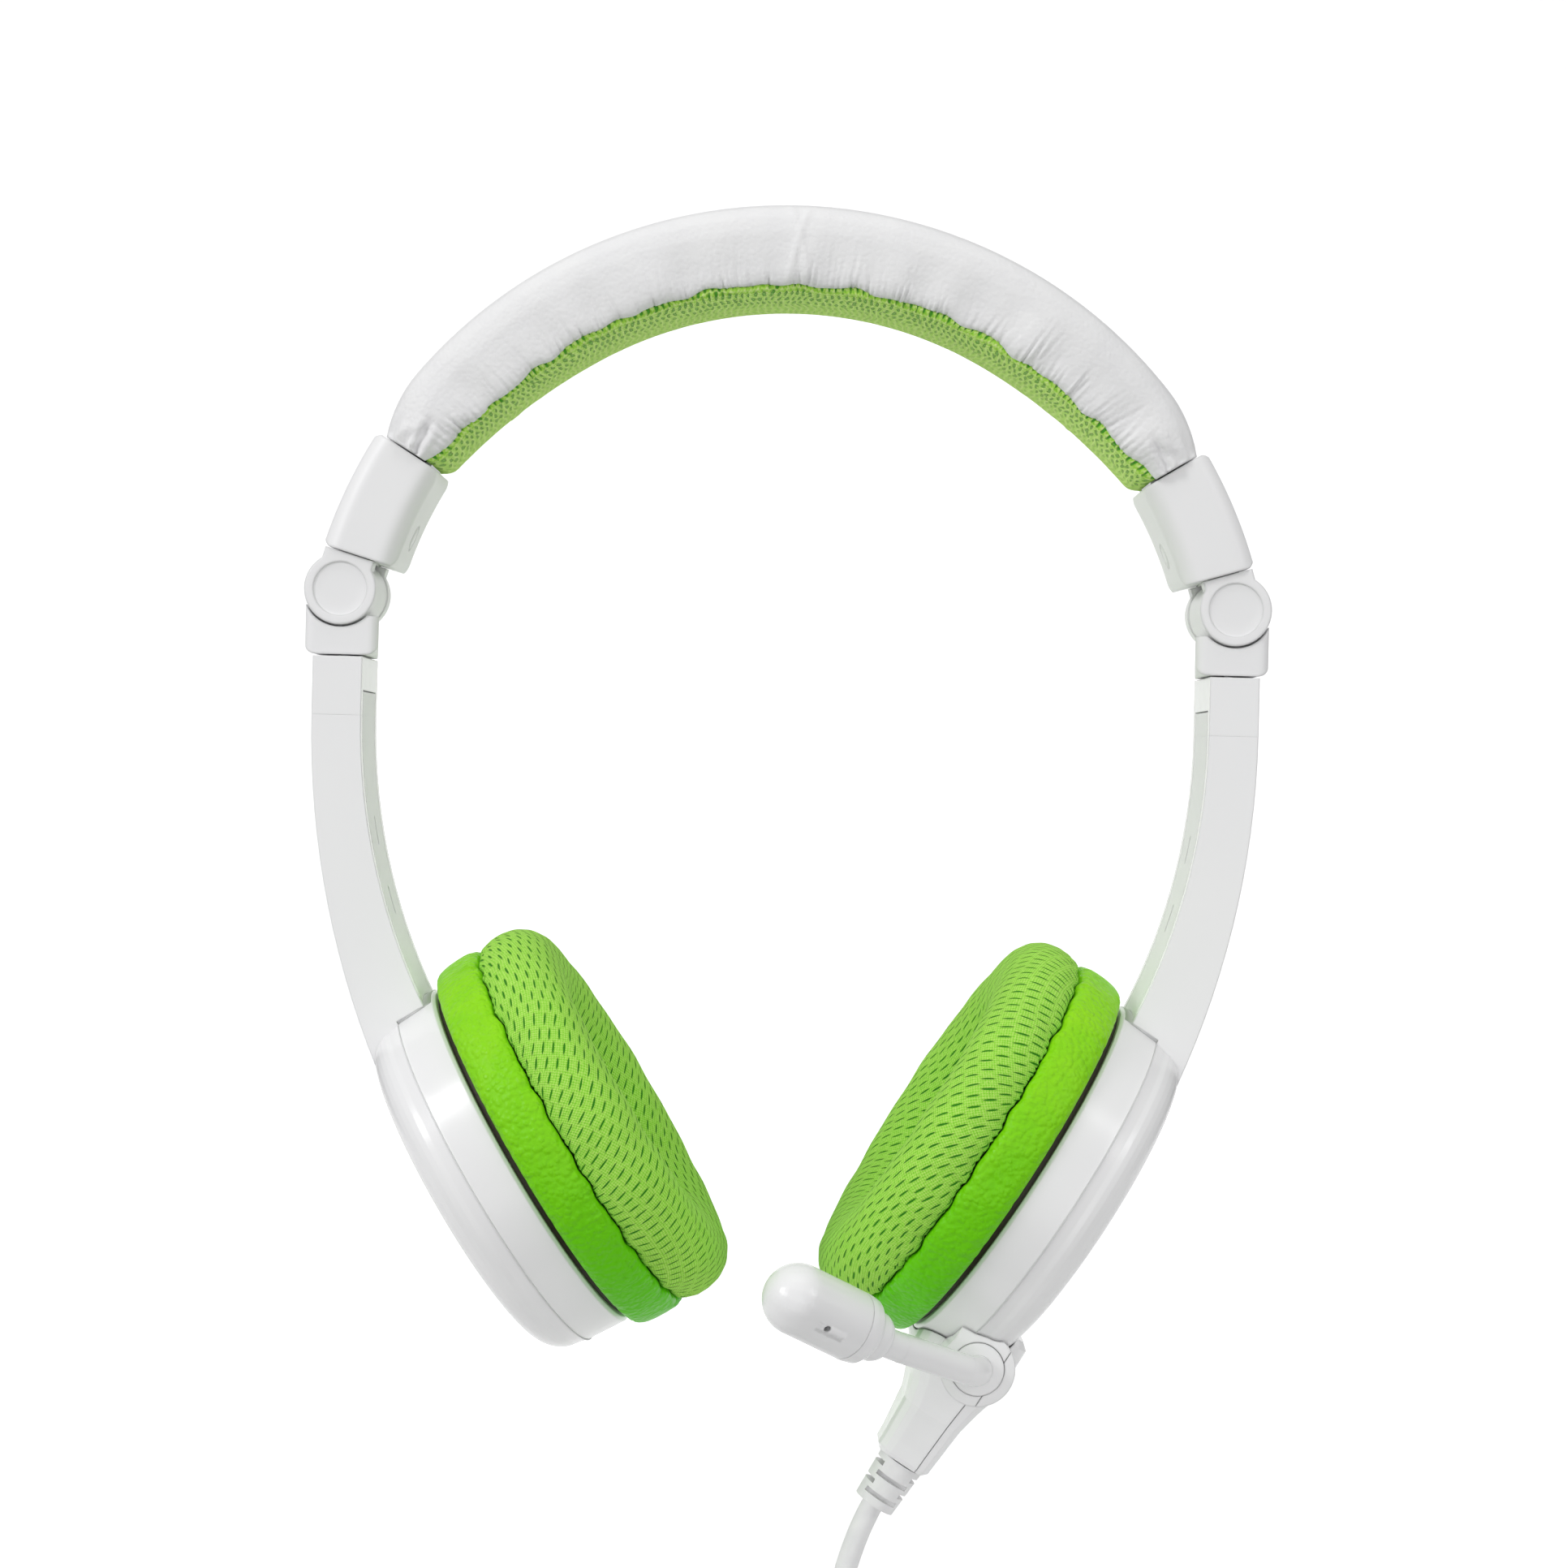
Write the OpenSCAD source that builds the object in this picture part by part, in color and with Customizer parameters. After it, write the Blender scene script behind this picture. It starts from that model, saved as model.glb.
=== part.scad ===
// Foldable on-ear headset for children, with a plug-in boom microphone lead.
// Millimetres. Origin: underside of the head pad at its crown. +Z up, +X the wearer's left, -Y the front.
// Each side is drawn once for +X and mirrored.

/* [Headband] */
// Radius of the head pad's underside
band_r = 65.3; // [60:0.1:72]
// Depth of the padded band, front to back
band_depth = 26.5; // [24:0.5:30]
// Height of the padded band at its crown
band_height = 14.8; // [13:0.1:18]
// Half of the angle that the padded band spans
band_half = 58.3; // [52:0.1:60]
// Thickness of the knitted pad
pad_t = 3.4; // [2.4:0.1:4.5]
// Thickness of the spring strip inside the band
spring_t = 1; // [0.6:0.1:1.4]
// Width of the spring strip
spring_w = 12; // [8:0.5:13]

/* [Sleeves] */
// Angle that a sleeve spans along the band
sleeve_angle = 14.7; // [12:0.1:16]
// Depth of a sleeve, front to back
sleeve_depth = 20.5; // [19.5:0.5:22]
// Thickness of a sleeve between its two faces
sleeve_t = 12.3; // [11.5:0.1:13]
// How far the sleeve's inner face stands outside the pad's underside
sleeve_rise = 1.4; // [1:0.1:1.8]
// Corner radius of a sleeve
sleeve_round = 3.2; // [1:0.1:4]

/* [Fold hinge] */
// Angle from the sleeve's end to the hinge pin
hinge_reach = 4.6; // [4.4:0.1:6]
// Distance of the hinge pin outside the pad's underside
hinge_out = 8.9; // [6:0.1:10]
// Radius of the round ears
ear_r = 5.8; // [5:0.1:6.2]
// Depth of the hinge across both ears
hinge_depth = 19; // [18:0.5:20]
// Thickness of one ear
ear_t = 3.4; // [2.5:0.1:4]
// Radius of the hinge pin
pin_r = 1.5; // [1:0.1:2]
// Radius of the cover cap in each ear
cap_r = 4.2; // [3:0.1:4.6]

/* [Bracket and size strip] */
// Width of the bracket across the arm
bracket_w = 11.9; // [11:0.1:12]
// Height of the bracket below the hinge pin
bracket_h = 10.6; // [9:0.1:13]
// Thickness of the notched strip
strip_t = 1.2; // [0.8:0.1:1.6]
// Width of the notched strip
strip_w = 11; // [8:0.5:12]
// Length of the strip below the bracket
strip_l = 27; // [24:0.5:28]
// Spacing of the size notches
notch_pitch = 3; // [2.5:0.1:4]
// Number of size notches on each edge of the strip
notch_count = 6; // [4:1:7]

/* [Arm] */
// Depth of the arm, front to back
arm_depth = 19; // [18.5:0.5:21]
// Thickness of the arm at its top
arm_t = 8; // [7:0.1:9]
// Distance from the hinge pin to the arm's outer face
arm_out = 4.1; // [3.8:0.1:4.6]
// Length of the arm's straight top
arm_straight = 9.5; // [8:0.5:12]
// Radius of the arm's outer face
arm_outer_r = 142.7; // [130:0.1:160]
// Radius of the arm's inner face
arm_inner_r = 103; // [95:0.5:115]
// Angle that the outer face turns through before it meets the cup
arm_sweep = 26; // [24:0.1:28]
// Wall of the arm and cup mouldings
wall = 1.6; // [1.2:0.1:2]
// Thickness of the arm's cover plate
cover_t = 1.4; // [1:0.1:1.8]

/* [Cup] */
// Tilt of the cup's face from upright
cup_tilt = 32; // [26:0.5:36]
// Radius of the cup housing
cup_r = 31.3; // [29:0.1:33]
// Depth of the cup housing, ring line to back
cup_depth = 13.9; // [13:0.1:16]
// Radius of the rounding at the back of the cup
cup_round = 5; // [3:0.1:6]
// Depth of the front housing, in front of the parting line
housing_depth = 7; // [5.5:0.1:8]
// Distance from the end of the arm's face down to the middle of the cup
cup_drop = 19.2; // [17:0.1:21]
// Height of the dark ring that shows between cup and cushion
ring_gap = 0.8; // [0.4:0.1:1.4]
// Radius of the loudspeaker's frame
driver_r = 16; // [13:0.1:18]
// Number of screws that close a cup
cup_screws = 3; // [2:1:4]

/* [Cushion] */
// How far the cushion stands out past the cup housing
cushion_lip = 2.3; // [1.5:0.1:4]
// Height of the leatherette rim
rim_h = 8.2; // [6:0.1:10]
// Height of the knitted face above the seam
face_h = 10.2; // [8:0.1:13]
// Radius of the hole in the cushion
hole_r = 13; // [11:0.1:16]

/* [Microphone lead] */
// Distance of the plug's axis behind the ring line
plug_back = 11.2; // [10.5:0.1:12]
// Distance of the plug pin behind the ring line
jack_back = 8.6; // [8:0.1:9.4]
// Reach of the plug shell below the cup
shell_l = 19.6; // [17:0.1:24]
// Width of the plug shell at its lower end
shell_end_w = 10.2; // [9:0.1:12]
// Depth of the plug shell where it hugs the cup
saddle_depth = 25; // [20:0.5:26]
// Radius of the plug pin
jack_r = 1.75; // [1.25:0.05:1.8]
// Length of the plug pin
jack_l = 14; // [11:0.5:15]
// Radius of the boom hub's face
hub_r = 4.2; // [3.5:0.1:4.6]
// Radius of the boss round the hub
boss_r = 6; // [5.4:0.1:6.6]
// Radius of the boom tube
boom_r = 2.35; // [1.8:0.05:2.6]
// Length of the boom tube's straight run
boom_l = 13; // [8:0.1:40]
// Angle of the boom above level
boom_rise = 22.5; // [0:0.5:30]
// Angle that the boom turns from straight ahead to the side
boom_turn = 60; // [40:1:90]
// Radius of the microphone capsule
mic_r = 5.5; // [4.5:0.1:6]
// Length of the microphone capsule with its collar
mic_l = 22.7; // [20:0.1:26]

/* [Cable] */
// Diameter of the cable
cable_d = 3.7; // [2.5:0.1:3.8]
// Length of the slotted strain relief
relief_l = 8.2; // [8:0.1:14]
// Turns in each of the coil's two layers
layer_turns = 4; // [2:1:4]
// Radius of the coil's outer turn
coil_r = 30; // [26:0.5:34]
// Radius of the far plug's grip
grip_r = 4.2; // [3.4:0.1:5]

/* [Hidden] */

$fn = 96;
fit = 0.1;       // gap between fixed pieces
run = 0.3;       // gap between pieces that move
cut = 0.02;      // overshoot of a cutting shape
steps = 8;       // points along a rounded corner of a profile

// Places that the other pieces are set from.
sleeve_start = band_half + 0.2;
sleeve_end = sleeve_start + sleeve_angle;
hinge_r = band_r + hinge_out;
hinge_angle = sleeve_end + hinge_reach;
hinge = [hinge_r * sin(hinge_angle), 0, hinge_r * cos(hinge_angle) - band_r];
sleeve_in = band_r + sleeve_rise;
sleeve_out = sleeve_in + sleeve_t;
sleeve_mid = (sleeve_start + sleeve_end) / 2;
spring_in = band_r + pad_t + 0.2;
cheek = hinge_depth / 2 - ear_t;                 // half width between the ears
arm_top = -bracket_h - run;                      // below the hinge pin
arm_bend = arm_top - arm_straight;
block_out = arm_out + 1.6;
arm_in = arm_out - arm_t;
strip_mid = arm_out - arm_t / 2 - 0.5;
arm_end = hinge + [arm_out - arm_outer_r * (1 - cos(arm_sweep)), 0, arm_bend - arm_outer_r * sin(arm_sweep)];
ear_way = [-cos(cup_tilt), 0, sin(cup_tilt)];    // out of the cup, towards the ear
down_way = [-sin(cup_tilt), 0, -cos(cup_tilt)];  // down along the cup's face
arm_lap = 0.5;                                   // how far the arm's face stands behind the cup's back
cup_centre = arm_end + (cup_depth + arm_lap) * ear_way + cup_drop * down_way;
baffle_r = cup_r - wall;
cushion_r = cup_r + cushion_lip;                     // at its widest
baffle_t = 1.2;
seat = 1.5;                                      // depth of the baffle below the ring line
cushion_base = ring_gap + 0.1;
seam_h = cushion_base + rim_h;
crest_h = seam_h + face_h;
screw_ring = cup_r - 6.7;
socket_r = 3;
hub_drop = cup_r - 2;                            // from the middle of the cup down to the boom hub
hub_back = 10.35;
hub_front = 19;                                  // in front of the cup's middle
shell_top = cup_r - 8.6;
shell_end = cup_r + shell_l;
relief_end = shell_end + run + relief_l;
collar_l = 3.2;
cable_r = cable_d / 2;

function on_cup(down, out) = cup_centre + out * ear_way + down * down_way;
function arc(c, r, a0, a1, n = steps) =
    [for (i = [0:n]) let (a = a0 + (a1 - a0) * i / n) [c[0] + r * cos(a), c[1] + r * sin(a)]];

// ---------- frames ----------

// Revolves the profile in front of it (x = radius from the band's centre) between two angles from the crown.
module band_sweep(a0, a1)
    translate([0, 0, -band_r]) rotate([90, 0, 0]) rotate([0, 0, 90 - a1])
        rotate_extrude(angle = a1 - a0, $fn = 180) children();

// Frame at an angle and a radius on the band: x outwards, z along the band towards the arm.
module on_band(a, r)
    translate([r * sin(a), 0, r * cos(a) - band_r]) rotate([0, a + 90, 0]) mirror([1, 0, 0]) children();

// Extrudes an outline drawn in the front view.
module front(depth) rotate([90, 0, 0]) linear_extrude(depth, center = true) children();

module at_hinge() translate(hinge) children();

// Cup frame: z towards the ear, -x down along the face, origin at the ring line.
module in_cup() translate(cup_centre) rotate([0, cup_tilt - 90, 0]) children();

// Plug frame: z down and away from the cup, x towards the ear.
module in_plug() in_cup() translate([0, 0, -plug_back]) rotate([0, -90, 0]) children();

// Frame of the plug pin and its socket.
module in_jack() in_cup() translate([0, 0, -jack_back]) rotate([0, -90, 0]) children();

module left() mirror([1, 0, 0]) children();

module round_box(size, r)
    // Rounded along z only.
    union() {
        cube([size[0] - 2 * r, size[1], size[2]], center = true);
        cube([size[0], size[1] - 2 * r, size[2]], center = true);
        for (x = [-1, 1], y = [-1, 1])
            translate([x * (size[0] / 2 - r), y * (size[1] / 2 - r), 0]) cylinder(h = size[2], r = r, center = true);
    }

module round_rect(size, r)
    union() {
        square([size[0] - 2 * r, size[1]], center = true);
        square([size[0], size[1] - 2 * r], center = true);
        for (x = [-1, 1], y = [-1, 1])
            translate([x * (size[0] / 2 - r), y * (size[1] / 2 - r)]) circle(r);
    }

// ---------- headband ----------

// Cross-sections as [distance from the band's centre, depth].
half_band = band_depth / 2;
cover_half = [
    [0.5, half_band - 0.8], [1.6, half_band - 0.1], [band_height * 0.38, half_band + 0.3],
    [band_height * 0.62, half_band + 0.2], [band_height - 3, half_band - 0.6], [band_height - 1.5, half_band - 2],
    [band_height - 0.7, half_band - 4.6], [band_height - 0.1, half_band * 0.35]
];
module cover_section()
    translate([band_r, 0]) polygon(concat(cover_half, [for (i = [len(cover_half) - 1:-1:0]) [cover_half[i][0], -cover_half[i][1]]]));

// Seen from above, the band narrows towards its gathered ends.
taper_from = (band_r + pad_t) * sin(24);
taper_to = (band_r + pad_t) * sin(band_half);
taper_slope = 2.8 / (taper_to - taper_from);
module taper(inset)
    translate([0, 0, -band_r]) linear_extrude(2 * band_r) {
        wide = half_band + 0.8 - inset;
        far = taper_to + band_height;
        narrow = wide - taper_slope * (far - taper_from);
        polygon([
            [-far, -narrow], [-taper_from, -wide], [taper_from, -wide], [far, -narrow],
            [far, narrow], [taper_from, wide], [-taper_from, wide], [-far, narrow]
        ]);
    }

// Room under the band: the pad thins out and its underside rises towards the sleeves.
rise_shift = 7.6;
module underside(grow)
    translate([0, 0, -band_r]) front(2 * band_depth) {
        circle(band_r + grow, $fn = 360);
        translate([0, -rise_shift]) circle(band_r + rise_shift * cos(30) + grow, $fn = 360);
    }

// A solid through rings of points, one after the other, closed with flat ends.
module skin(rings)
    let (k = len(rings[0]), last = len(rings) - 1)
    polyhedron(
        points = [for (r = rings) each r],
        faces = concat(
            [[for (j = [0:k - 1]) j]],
            [[for (j = [k - 1:-1:0]) last * k + j]],
            [for (i = [0:last - 1], j = [0:k - 1]) let (n = (j + 1) % k)
                each [[i * k + j, (i + 1) * k + j, (i + 1) * k + n], [i * k + j, (i + 1) * k + n, i * k + n]]]
        ),
        convexity = 10
    );

module band_cover()
    color("whitesmoke") difference() {
        intersection() {
            band_sweep(-band_half, band_half) cover_section();
            taper(0);
        }
        underside(0.5);
        // Bed of the pad, and above it the way of the spring strip.
        intersection() {
            band_sweep(-band_half - 1, band_half + 1)
                translate([band_r - 2, 2 - half_band]) square([2 + pad_t + 0.1, band_depth - 4]);
            taper(2);
        }
        band_sweep(-band_half - 1, band_half + 1)
            translate([band_r + pad_t + spring_t / 2 + 0.1, 0]) square([spring_t + 0.4, spring_w + 2 * fit], center = true);
        // The top is drawn down over the last stretch, into the sleeve.
        for (side = [-1, 1])
            translate([0, 0, -band_r]) rotate([0, side * (band_half + 7.2), 0])
                translate([0, 0, (band_r + band_height) * cos(15.5) + 10]) cube([80, 2 * band_depth, 20], center = true);
    }

module band_pad()
    color("yellowgreen") difference() {
        intersection() {
            band_sweep(-band_half, band_half)
                translate([band_r - 2, 2.1 - half_band]) square([2 + pad_t, band_depth - 4.2]);
            taper(2.1);
        }
        underside(0);
    }

module band_spring()
    color("silver") difference() {
        band_sweep(1.5 - sleeve_end, sleeve_end - 1.5)
            translate([spring_in + spring_t / 2, 0]) square([spring_t, spring_w], center = true);
        for (a = [-screw_at, screw_at])
            on_band(a, spring_in) rotate([0, 90, 0]) cylinder(h = 4, r = 1.15, center = true);
    }

// ---------- sleeve and knuckle ----------

stem_l = 9;                                      // how far the knuckle reaches into the sleeve
stem_t = 5;
stem_w = 2 * cheek + 3;
stem_r = spring_in + spring_t + 1.4 + stem_t / 2;
neck_l = hinge_r * sin(hinge_angle - sleeve_end); // from the pin up to the sleeve
screw_at = sleeve_end - 5;
screw_l = stem_r - sleeve_in + 0.2;

module sleeve()
    color("white") difference() {
        intersection() {
            band_sweep(sleeve_start, sleeve_end)
                translate([(sleeve_in + sleeve_out) / 2, 0]) round_rect([sleeve_t, sleeve_depth], sleeve_round);
            on_band(sleeve_mid, (sleeve_in + sleeve_out) / 2)
                rotate([90, 0, 0])
                    round_box([sleeve_t + 0.6, sleeve_out * sleeve_angle * PI / 180, sleeve_depth + 1], sleeve_round);
        }
        // Slot for the spring strip, from the band's side.
        band_sweep(sleeve_start - 1, sleeve_end - 1.3)
            translate([spring_in + spring_t / 2, 0]) square([spring_t + 2 * fit, spring_w + 2 * fit], center = true);
        // Pocket for the stem of the knuckle, from the arm's side.
        stem(fit);
        sleeve_screw_hole(0.15);
    }

// Block that holds the knuckle in the sleeve, outside the spring strip.
module stem(grow)
    on_band(sleeve_end, stem_r)
        translate([0, 0, (1 - stem_l) / 2]) cube([stem_t, stem_w, stem_l + 1] + 2 * grow * [1, 1, 1], center = true);

module sleeve_screw_hole(grow)
    on_band(screw_at, sleeve_in) rotate([0, 90, 0]) {
        translate([0, 0, -1]) cylinder(h = 2.05, r = 2 + grow);
        cylinder(h = screw_l + 0.4, r = 1 + grow);
    }

module sleeve_screw()
    color("gray") on_band(screw_at, sleeve_in) rotate([0, 90, 0]) {
        translate([0, 0, 0.3]) cylinder(h = 0.7, r = 2);
        translate([0, 0, 0.9]) cylinder(h = screw_l - 0.9, r = 1);
    }

// Fork with two round ears. Each ear runs up to the sleeve as a flat neck.
module knuckle()
    color("white") difference() {
        union() {
            stem(0);
            for (side = [-1, 1])
                at_hinge() translate([0, side * (hinge_depth - ear_t) / 2, 0]) {
                    translate([0, -side * 0.05, 0]) front(ear_t + 0.1) circle(ear_r);
                    rotate([0, sleeve_end + 90, 0]) mirror([1, 0, 0])
                        translate([0.2, 0, 0.075 - neck_l / 2]) cube([8.2, ear_t, neck_l - 0.15], center = true);
                }
        }
        // Room for the bracket's barrel.
        at_hinge() front(2 * cheek) circle(neck_l + run);
        at_hinge() front(hinge_depth + 1) circle(pin_r + 0.05);
        for (side = [-1, 1])
            at_hinge() translate([0, side * hinge_depth / 2, 0]) front(2) circle(cap_r + 0.1);
        sleeve_screw_hole(0.05);
    }

module hinge_pin() color("silver") at_hinge() front(hinge_depth - 2.2) circle(pin_r);

module hinge_caps()
    color("white")
        for (side = [-1, 1])
            at_hinge() translate([0, side * (hinge_depth / 2 - 0.65), 0]) front(0.6) circle(cap_r);

// ---------- bracket and size strip ----------

module bracket_plan()
    // Seen from above: the inner face leans outwards to the back.
    translate([block_out - bracket_w, 0])
        polygon(concat(
            arc([1.5, 1.5 - hinge_depth / 2 + 0.5], 1.5, 180, 270, 4),
            arc([bracket_w - 1.5, 1.5 - hinge_depth / 2 + 0.5], 1.5, 270, 360, 4),
            arc([bracket_w - 1.5, hinge_depth / 2 - 2], 1.5, 0, 90, 4),
            arc([3.6, hinge_depth / 2 - 2], 1.5, 90, 180, 4)
        ));

module bracket()
    color("white") difference() {
        union() {
            at_hinge() front(2 * cheek - 0.6) circle(ear_r - 0.2);
            at_hinge() intersection() {
                translate([0, 0, -bracket_h]) linear_extrude(bracket_h - 2.6) bracket_plan();
                translate([block_out - bracket_w / 2, 0, -bracket_h / 2])
                    front(hinge_depth) round_rect([bracket_w, bracket_h], 1.8);
                front(hinge_depth) difference() {
                    translate([-bracket_w, -2 * bracket_h]) square([2 * bracket_w, 2 * bracket_h]);
                    // The inner top corner is cut back, so that it clears the sleeve when the arm folds.
                    translate([-bracket_w - 3.4, -4.3]) square([bracket_w, bracket_h]);
                }
            }
        }
        for (side = [-1, 1])
            at_hinge() translate([0, side * hinge_depth / 2, 0]) front(2 * ear_t + 0.6) circle(ear_r + 0.35);
        at_hinge() front(hinge_depth + 1) circle(pin_r + 0.05);
        at_hinge() translate([strip_mid, 0, -bracket_h])
            cube([strip_t + 2 * fit, strip_w + 2 * fit, 2 * 3.4 + 2 * fit], center = true);
    }

module size_strip()
    color("silver") at_hinge() translate([strip_mid, 0, -bracket_h]) difference() {
        translate([0, 0, (3.4 - strip_l) / 2]) cube([strip_t, strip_w, strip_l + 3.4], center = true);
        for (i = [1:notch_count], side = [-1, 1])
            translate([0, side * (strip_w / 2 + 0.3), -2 - i * notch_pitch])
                rotate([0, 90, 0]) cylinder(h = strip_t + 1, r = 1, center = true);
    }

// ---------- arm ----------

// Front view between the outer and the inner face, with each face moved in by its own amount.
module arm_outline(outer_in, inner_in, top)
    intersection() {
        union() {
            translate([arm_in + inner_in, arm_bend]) square([arm_t - outer_in - inner_in, top - arm_bend]);
            difference() {
                translate([arm_out - arm_outer_r, arm_bend]) circle(arm_outer_r - outer_in, $fn = 360);
                translate([arm_in - arm_inner_r, arm_bend]) circle(arm_inner_r + inner_in, $fn = 360);
                translate([-2 * arm_outer_r, arm_bend - cut]) square([3 * arm_outer_r, 2 * arm_outer_r]);
            }
        }
        // Down to the end of the outer face, square to it.
        translate([arm_out - arm_outer_r, arm_bend])
            rotate(-arm_sweep) translate([0, 0]) square([2 * arm_outer_r, 2 * arm_outer_r]);
    }

// Outer form of the closed cup, as [radius, height]. Grown, it clears the pieces that seat on it.
function cup_side(grow) = concat(
    [[cup_r + grow, 0], [cup_r - 0.4 + grow, -housing_depth]],
    arc([cup_r - 0.8 - cup_round, cup_round - cup_depth], cup_round + grow, 0, -90)
);
module cup_form(grow, top)
    in_cup() rotate_extrude()
        polygon(concat([[0, top], [cup_r + grow, top]], cup_side(grow), [[0, -cup_depth - 0.5 - grow]]));

guide_l = strip_l + 3;

module arm_shell(socket = false)
    color("white") difference() {
        union() {
            difference() {
                at_hinge() front(arm_depth) arm_outline(0, 0, arm_top);
                // Seat of the cover plate and the hollow behind it.
                at_hinge() front(arm_depth - 2 * 2) intersection() {
                    difference() {
                        arm_outline(-1, -1, arm_top);
                        arm_outline(0, cover_t + 0.05, arm_top);
                    }
                    translate([-arm_outer_r, -2 * arm_outer_r]) square([2 * arm_outer_r, 2 * arm_outer_r + arm_top - 5.4]);
                }
                at_hinge() front(arm_depth - 2 * 3) intersection() {
                    arm_outline(wall, -1, arm_top);
                    translate([-arm_outer_r, -2 * arm_outer_r]) square([2 * arm_outer_r, 2 * arm_outer_r + arm_top - guide_l]);
                }
                cup_form(-wall - 0.05, crest_h + 10);
                in_cup() translate([0, 0, -housing_depth]) cylinder(h = 40, r = cup_r + 0.15);
            }
            cup_back();
        }
        // Way for the size strip.
        at_hinge() translate([strip_mid, 0, arm_top - guide_l / 2 + 0.5])
            cube([strip_t + 0.6, strip_w + 0.6, guide_l + 1], center = true);
        if (socket) socket_hole();
    }

module socket_hole() in_jack() translate([0, 0, cup_r - 8]) cylinder(h = 10, r = socket_r + fit);

// Back of the cup, behind the parting line, with the posts that take the screws.
module cup_back() {
    in_cup() rotate_extrude()
        polygon(concat(
            cup_back_side(0), [[0, -cup_depth - 0.5]], [[0, wall - cup_depth - 0.5]],
            [for (i = [steps:-1:0]) let (a = -90 * i / steps)
                [cup_r - 0.8 - cup_round + (cup_round - wall) * cos(a), cup_round - cup_depth + (cup_round - wall) * sin(a)]],
            [[cup_r - 0.4 - wall, -housing_depth - 0.1]]
        ));
    for (i = [0:cup_screws - 1])
        in_cup() rotate([0, 0, i * 360 / cup_screws]) translate([screw_ring, 0, wall / 2 - cup_depth])
            difference() {
                cylinder(h = cup_depth - wall / 2 - seat - baffle_t - 0.1, r = 2.3);
                translate([0, 0, 3]) cylinder(h = cup_depth, r = 0.85);
            }
}
function cup_back_side(grow) = concat(
    [[cup_r - 0.4 + grow, -housing_depth - 0.1]],
    arc([cup_r - 0.8 - cup_round, cup_round - cup_depth], cup_round + grow, 0, -90)
);

module arm_cover()
    color("white") difference() {
        at_hinge() front(arm_depth - 2 * 2 - 0.4) intersection() {
            difference() {
                arm_outline(0, 0, arm_top);
                arm_outline(-1, cover_t, arm_top);
            }
            translate([-arm_outer_r, -2 * arm_outer_r]) square([2 * arm_outer_r, 2 * arm_outer_r + arm_top - 5.6]);
        }
        cup_form(0.3, crest_h + 10);
        // Two clip slots.
        for (s = [10.5, 17]) at_hinge() translate([arm_in - arm_inner_r, 0, arm_bend]) rotate([0, s, 0])
            translate([arm_inner_r, 0, 0]) cube([4 * cover_t, 0.9, 4.5], center = true);
    }

// ---------- cup ----------

module cup_housing(socket = false)
    color("white") difference() {
        in_cup() rotate_extrude()
            polygon([
                [cup_r - 0.5, 0], [cup_r, -0.5], [cup_r - 0.4, -housing_depth], [cup_r - 0.4 - wall, -housing_depth],
                [cup_r - 0.4 - wall, -5], [cup_r - 3.6, -4.4], [cup_r - 3.6, -seat - baffle_t - 0.05],
                [baffle_r + fit, -seat - baffle_t - 0.05], [baffle_r + fit, 0]
            ]);
        if (socket) socket_hole();
    }

module cup_screws()
    color("dimgray") in_cup()
        for (i = [0:cup_screws - 1]) rotate([0, 0, i * 360 / cup_screws]) translate([screw_ring, 0, -seat]) {
            translate([0, 0, 0]) cylinder(h = 0.8, r = 1.8);
            translate([0, 0, -6]) cylinder(h = 6.01, r = 0.8);
        }

module baffle()
    color([0.2, 0.16, 0.1]) in_cup() difference() {
        union() {
            translate([0, 0, -seat - baffle_t]) cylinder(h = baffle_t, r = baffle_r);
            translate([0, 0, -seat - cut]) cylinder(h = seat + ring_gap + cut, r = baffle_r);
        }
        translate([0, 0, -seat]) cylinder(h = 5, r = baffle_r - 1.6);
        // Sound openings over the driver.
        for (r = [4, 8, 12], i = [0:1:r * 1.5 - 1])
            rotate([0, 0, i * 360 / (r * 1.5)]) translate([r, 0, -5]) cylinder(h = 8, r = 1.1, $fn = 24);
        for (i = [0:cup_screws - 1])
            rotate([0, 0, i * 360 / cup_screws]) translate([screw_ring, 0, -5]) cylinder(h = 8, r = 1);
    }

frame_top = -seat - baffle_t - 0.05;

module driver_frame()
    color("dimgray") in_cup() rotate_extrude()
        polygon([
            [driver_r, frame_top], [driver_r, frame_top - 1.4], [driver_r - 3, frame_top - 4.2],
            [8.6, frame_top - 4.2], [8.6, frame_top - 3.2], [driver_r - 3.4, frame_top - 3.2],
            [driver_r - 1.6, frame_top - 1], [driver_r - 1.6, frame_top]
        ]);

module driver_magnet()
    color("silver") in_cup() translate([0, 0, frame_top - 7]) difference() {
        cylinder(h = 4.4, r = 8.4);
        translate([0, 0, 1.2]) difference() {
            cylinder(h = 4, r = 6.6);
            cylinder(h = 4, r = 5.4);
        }
    }

module driver_diaphragm()
    color("gray") in_cup() rotate_extrude()
        polygon([
            [0, frame_top - 0.9], [3, frame_top - 1.2], [6, frame_top - 2.1], [9, frame_top - 1.2],
            [12, frame_top - 0.8], [driver_r - 1.7, frame_top - 0.5], [driver_r - 1.7, frame_top - 0.7],
            [12, frame_top - 1], [9, frame_top - 1.4], [6, frame_top - 2.3], [3, frame_top - 1.4], [0, frame_top - 1.1]
        ]);

grille_r = driver_r + 4;

module ear_grille()
    color([0.15, 0.3, 0.1]) in_cup() translate([0, 0, -seat + 0.05]) cylinder(h = seat + 0.3, r = grille_r);

// ---------- cushion ----------

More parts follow.
